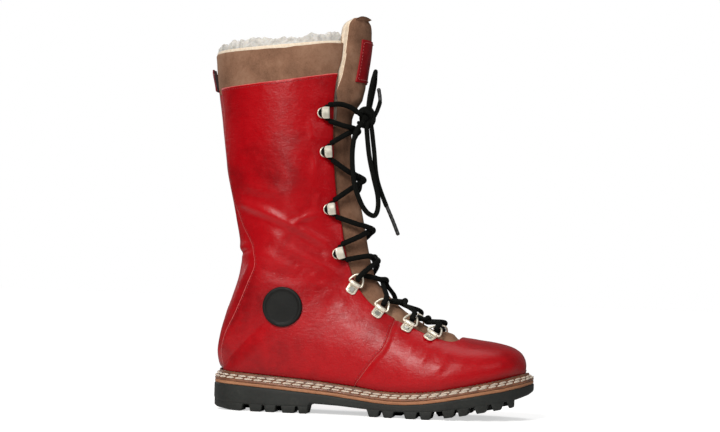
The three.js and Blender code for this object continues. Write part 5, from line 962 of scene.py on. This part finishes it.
# ------------------------------------------------------------------ laces
LW, LH = 2.4, 1.95
def seat(f, k):
    if f["hook"]: return f["o"]+f["n"]*3.95+f["e"]*(-3.7+7.3*float(smooth(0, 7, abs(k))))+f["a"]*k
    w = np.cross(f["u"], f["d"]); w = w if w@f["n"] > 0 else -w; return f["bar"]+f["u"]*4.9+w*k
def tip(f, k):
    w = np.cross(f["u"], f["d"]); w = w if w@f["n"] > 0 else -w; return f["bar"]+f["u"]*(9.2 if k > 0 else 8.6)+w*(4.7 if k > 0 else -4.6)
def over(t, r, h):
    t, r = np.array([t]), np.array([r]); p = surf(t, r); return (p+normal(t, r)*h)[0]+np.array([1, 0, 0])*lin(LEAN_MID, p[0, 2])*max(0, 1-(abs(r[0]-1)/.3)**2)
DROP = {(1, 0): 1.35, (2, 1): 1.7, (3, 2): 1.9, (4, 3): 1.15, (5, 4): .3}
def strand(lo, hi, up, drop=0):
    pts = [seat(lo, 7)] if lo["hook"] else [seat(lo, 0), seat(lo, 3), tip(lo, 1)]
    ks = [.22, .36, .5, .64, .78] if lo["hook"] else [.36, .5, .64, .75] if hi["hook"] else [.38, .5, .62]
    for k in ks:
        lt, ht = lo["t"]+(.75 if lo["hook"] else .3), hi["t"]-(.95 if hi["hook"] else .3); r = lo["r"]+(hi["r"]-lo["r"])*k; q = min(r, 2-r); t = lt+(ht-lt)*k-drop*(1-min(1, abs(r-1)/.3)**1.6)
        pts.append(over(t, r, (4.6 if up else .1) if k == .5 else 3.7 if q < .885 else 2.4 if up else .7))
    pts += [seat(hi, -7)] if hi["hook"] else [tip(hi, -1), seat(hi, -3), seat(hi, 0)]
    return pts
Ls = [f for f in hook_at if f["s"] < 0]+[f for f in ring_at if f["s"] < 0]; Ms = [f for f in hook_at if f["s"] > 0]+[f for f in ring_at if f["s"] > 0]
LS = 1.0
lace = []
for i in range(7, 0, -1):
    lace.append(cord("l", strand(Ls[i], Ms[i-1], i % 2 == 0, DROP.get((i, i-1), 0)), LW, LH, [M_LACE], LS, 14)); lace.append(cord("l", strand(Ms[i], Ls[i-1], i % 2 == 1, DROP.get((i, i-1), 0)), LW, LH, [M_LACE], LS, 14))
for f in hook_at:
    A = [seat(f, -7.3), seat(f, -5.4), seat(f, -3), seat(f, 0), seat(f, 3), seat(f, 5.4), seat(f, 7.3)]; lace.append(cord("l", A, LW*.93, LH*1.05, [M_LACE], LS, 14, raw_normals=f["n"]))
a, b = Ls[7], Ms[7]; lace.append(cord("l", [seat(a, 0), seat(a, -3), tip(a, -1), over(a["t"], 1, .2), tip(b, -1), seat(b, -3), seat(b, 0)], LW, LH, [M_LACE], LS, 14))
for s, f in ((-1, Ls[0]), (1, Ms[0])):
    lace.append(cord("l", [seat(f, 7), (111.5, 30*s, 276.5), (119.5, 20.5*s, 274.5), (125.5, 11*s, 270.5), KNOT+np.array([-1.5, 1.5*s, 0])], LW, LH, [M_LACE], LS, 14))
# the knot: two crossed tucks and the wrap that holds them
K = KNOT+np.array([-.6, 0, -.4])
def off(*pts): return [K+np.array(p, float)*np.array([1.45, 1.4, 1.4]) for p in pts]
KN = dict(mats=[M_LACE], step=.8, sides=14)
lace.append(cord("l", off((-3, 4.4, 2.8), (1.0, 4.6, 3.4), (2.8, 3.2, 1.0), (3.4, .6, -1.6), (2.4, -2.4, -4.0), (-1.6, -3.6, -4.6), (-4.0, -3.4, -2.6)), 2.3, 1.8, raw_normals=[1, 0, 0], **KN))
lace.append(cord("l", off((-3.4, -3.8, 3.0), (.4, -4.4, 4.0), (3.4, -3.0, 2.8), (4.3, -.4, .4), (3.4, 2.6, -2.2), (.4, 4.0, -4.0), (-2.8, 3.8, -3.8)), 2.3, 1.8, raw_normals=[1, 0, 0], **KN))
lace.append(cord("l", off((-3.6, -1.6, 1.5), (-1.0, -2.2, 5.2), (3.4, -1.4, 5.4), (5.4, -.6, 1.6), (5.2, -.2, -2.4), (2.4, .2, -5.2), (-2.2, .2, -4.6)), 2.4, 1.6, raw_normals=[0, 1, .2], **KN))
kr = [[K+np.array([5.0*math.cos(p)*math.cos(q), 5.6*math.cos(p)*math.sin(q), 6.2*math.sin(p)]) for q in np.linspace(0, 2*np.pi, 20, endpoint=False)] for p in np.linspace(-1.45, 1.45, 12)]
kb = loft("l", kr, [M_LACE], uv=np.array([[j/10, i*.2] for i in range(12) for j in range(20)])); fix_normals(kb); lace.append(kb)
lace = join("boot_lace", lace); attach(lace, "boot"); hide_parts("lace")

def soft_cord(name, pts, body, node, rw=LW*.95, rh=LH*1.02, nrm=None):
    o = cord(name, pts, rw, rh, [M_LACE], LS, 14, raw_normals=nrm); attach(o, body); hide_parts(node); return o
soft_cord("bow_top_loop", [[131.6,-4.5,272.0],[132.6,-5.8,275.6],[134,-8.5,286],[135.4,-9.6,294],[136.6,-8.5,301],[137.9,-5.9,307.5],[138.0,-2.2,309.5],[137.4,1.4,306.5],[137.0,3.2,300],[136,3.9,294],[134.8,3.4,287],[133.2,.4,276],[132.2,-1.2,272]], "bow_loop_top", "bow_loop_upper", nrm=[.95, .1, -.2])
soft_cord("bow_top_end", [[135.2,-2.6,267.0],[137.4,-1.5,268.5],[139.6,.5,273],[142.2,1.5,281.5],[142.5,1.6,284.2]], "bow_end_top", "lace_end_upper", nrm=[.9, .2, -.3])
lp = np.array([[129.8,-8.4,264.5],[128.4,-10.8,261],[124.6,-17,253],[122.3,-23,230],[125.2,-25,195],[129.2,-24.2,180],[133.8,-22,168.6],[138.2,-19,162.5],[142.6,-15.8,160.6],[144.4,-12.8,163.5],[145.4,-10.8,170.5],[144.6,-8.5,182],[140,-7.5,203],[135.6,-7.5,225],[132.9,-7,248],[132.0,-6.5,259.5],[132.2,-6.0,262.5]])
lp[:, 2] = 264-(264-lp[:, 2])*.83
soft_cord("bow_hanging_loop", lp, "bow_loop_hanging", "bow_loop_lower", nrm=[.55, -.8, .1])
soft_cord("bow_hanging_end", [[134.6,-1.0,262.8],[135.6,-.6,259],[138.4,-.2,240],[142.4,.4,211.5],[151,1,189],[152.2,1,186.6]], "bow_end_hanging", "lace_end_lower", nrm=[.8, -.5, .2])
def tipfilm(name, pts, body, node):
    C, u = curve(pts, .6); T = unit(np.gradient(C, axis=0)); s = np.clip(np.minimum(u/1.0, (u[-1]-u)/1.6), 0, 1); r = 1.72*(.55+.45*np.sqrt(1-(1-s)**2))+.05*np.sin(u*1.4)
    N = unit(np.cross(T, [0, 1, 0])); B = np.cross(T, N); a = np.linspace(0, 2*np.pi, 20, endpoint=False)
    R = C[:, None]+r[:, None, None]*(N[:, None]*np.cos(a)[None, :, None]+B[:, None]*np.sin(a)[None, :, None]); o = loft(name, R, [M_TIP]); fix_normals(o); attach(o, body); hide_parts(node)
tipfilm("lace_tip_top", [[142.3,1.6,282.6],[142.4,1.6,284],[141.8,1.8,289],[140.6,1.8,295]], "bow_end_top", "aglet_upper")
tipfilm("lace_tip_hanging", [[151.4,1,188.4],[151.9,1,187.4],[157.6,1.2,175],[163.2,1.4,161.8]], "bow_end_hanging", "aglet_lower")

# label stitching: a plain border
def label_row(pts, name):
    P = []
    for z, v in pts: t = z_station(z, np.array([v]), 2.0); p, n = tongue_point(t, np.array([v]), 2.0); P.append((p[0], n[0]))
    return P
rows = []
def seg_line(z0, v0, z1, v1, n): return [(z0+(z1-z0)*k, v0+(v1-v0)*k) for k in (np.arange(n)+.5)/n]
for pts in (seg_line(300.6, -.52, 300.6, .52, 14), seg_line(334.4, -.52, 334.4, .52, 14), seg_line(300.6, -.525, 334.4, -.525, 12), seg_line(300.6, .525, 334.4, .525, 12)):
    q = label_row(pts, ""); P = np.array([a for a, b in q]); N = np.array([b for a, b in q]); rows.append(capsules("s", P+N*.22, unit(np.gradient(P, axis=0)), N, 1.9, .36, .3, [M_PINK], 6, 5))
ls = join("tongue_label_stitches", rows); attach(ls, "tongue_top")

# ------------------------------------------------------------------ floor, light, camera
def plain(name, r, g, b, rough):
    m = Mat(name, rough, spec=.3); n = m.noise(6, 3, .5); m.color(m.mix(m.ramp(n, (.3, 0.0), (.7, 1.0)), lin_rgb(r, g, b), lin_rgb(min(r+3, 255), min(g+3, 255), min(b+3, 255)))); return m.m
bpy.ops.mesh.primitive_plane_add(size=40, location=(0, 0, 0)); floor = bpy.context.object; floor.name = "studio_floor"
m = Mat("studio floor", .75, spec=.2); ln = m.node("ShaderNodeVectorMath", operation="LENGTH"); m.put(ln.inputs[0], m.co); fade = m.ramp(m.math("MULTIPLY", ln.outputs["Value"], 1.0), (.2, 0.0), (.75, 1.0))
m.color(m.mix(fade, m.mix(m.ramp(m.noise(6, 3, .5), (.3, 0.0), (.7, 1.0)), lin_rgb(246, 246, 245), lin_rgb(251, 251, 250)), (.02, .02, .02, 1))); m.b.inputs["Emission Color"].default_value = (1, 1, 1, 1)
seen = m.node("ShaderNodeLightPath").outputs["Is Camera Ray"]; m.put(m.b.inputs["Emission Strength"], m.math("MULTIPLY", seen, m.math("ADD", m.math("MULTIPLY", fade, .45), .55))); floor.data.materials.append(m.m)
def light(name, loc, target, size, power, color=(1, 1, 1), sy=None):
    d = bpy.data.lights.new(name, "AREA"); d.energy = power; d.size = size; d.color = color
    if sy: d.shape = "RECTANGLE"; d.size_y = sy
    o = bpy.data.objects.new(name, d); bpy.context.scene.collection.objects.link(o); o.location = loc; o.rotation_euler = (Vector(target)-Vector(loc)).to_track_quat("-Z", "Y").to_euler(); return o
mid_pt = (.08, 0, .16)
stage = [floor, light("key", (-.25, -1.45, 1.05), mid_pt, .5, 21, (1, .985, .96)), light("fill", (1.2, -1.1, .75), mid_pt, .5, 2.4, (.97, .98, 1)), light("top", (.3, .1, 1.7), mid_pt, .8, 5), light("rim", (-.9, .9, .8), mid_pt, .8, 5), light("strip", (-.12, -1.2, .30), (.06, 0, .12), .14, 1.3, (1, .99, .97), .4)]
w = bpy.data.worlds.new("studio"); bpy.context.scene.world = w; w.use_nodes = True; bg = w.node_tree.nodes["Background"]; bg.inputs[0].default_value = (1, 1, 1, 1)
# the backdrop stays white to the camera while its light on the boot is kept low
lp = w.node_tree.nodes.new("ShaderNodeLightPath"); mr = w.node_tree.nodes.new("ShaderNodeMapRange"); w.node_tree.links.new(lp.outputs["Is Camera Ray"], mr.inputs["Value"]); mr.inputs["To Min"].default_value = .17; mr.inputs["To Max"].default_value = 1.0; w.node_tree.links.new(mr.outputs[0], bg.inputs[1])
cam = bpy.data.cameras.new("camera"); co = bpy.data.objects.new("camera", cam); bpy.context.scene.collection.objects.link(co); bpy.context.scene.camera = co
az = math.radians(8); tgt = np.array([135.0, 0, 175.0]); pos = tgt+1700*np.array([math.sin(az), -math.cos(az), 0]); pos[2] = 110
F = np.linalg.norm(tgt-pos)/.906; cam.sensor_width = 36; cam.lens = 36*F/720; cam.shift_x = -7.8/720; cam.shift_y = 3.8/720; cam.clip_start = .05; cam.clip_end = 30
k = lambda p: Vector(((p[0]-OX)/1000, p[1]/1000, p[2]/1000))
co.location = k(pos); q = (k(tgt)-k(pos)).to_track_quat("-Z", "Y"); co.rotation_euler = (q.to_matrix() @ Matrix.Rotation(math.radians(1.9), 3, "Z")).to_euler()
bpy.context.scene.view_settings.view_transform = "Standard"
bpy.context.view_layer.update()
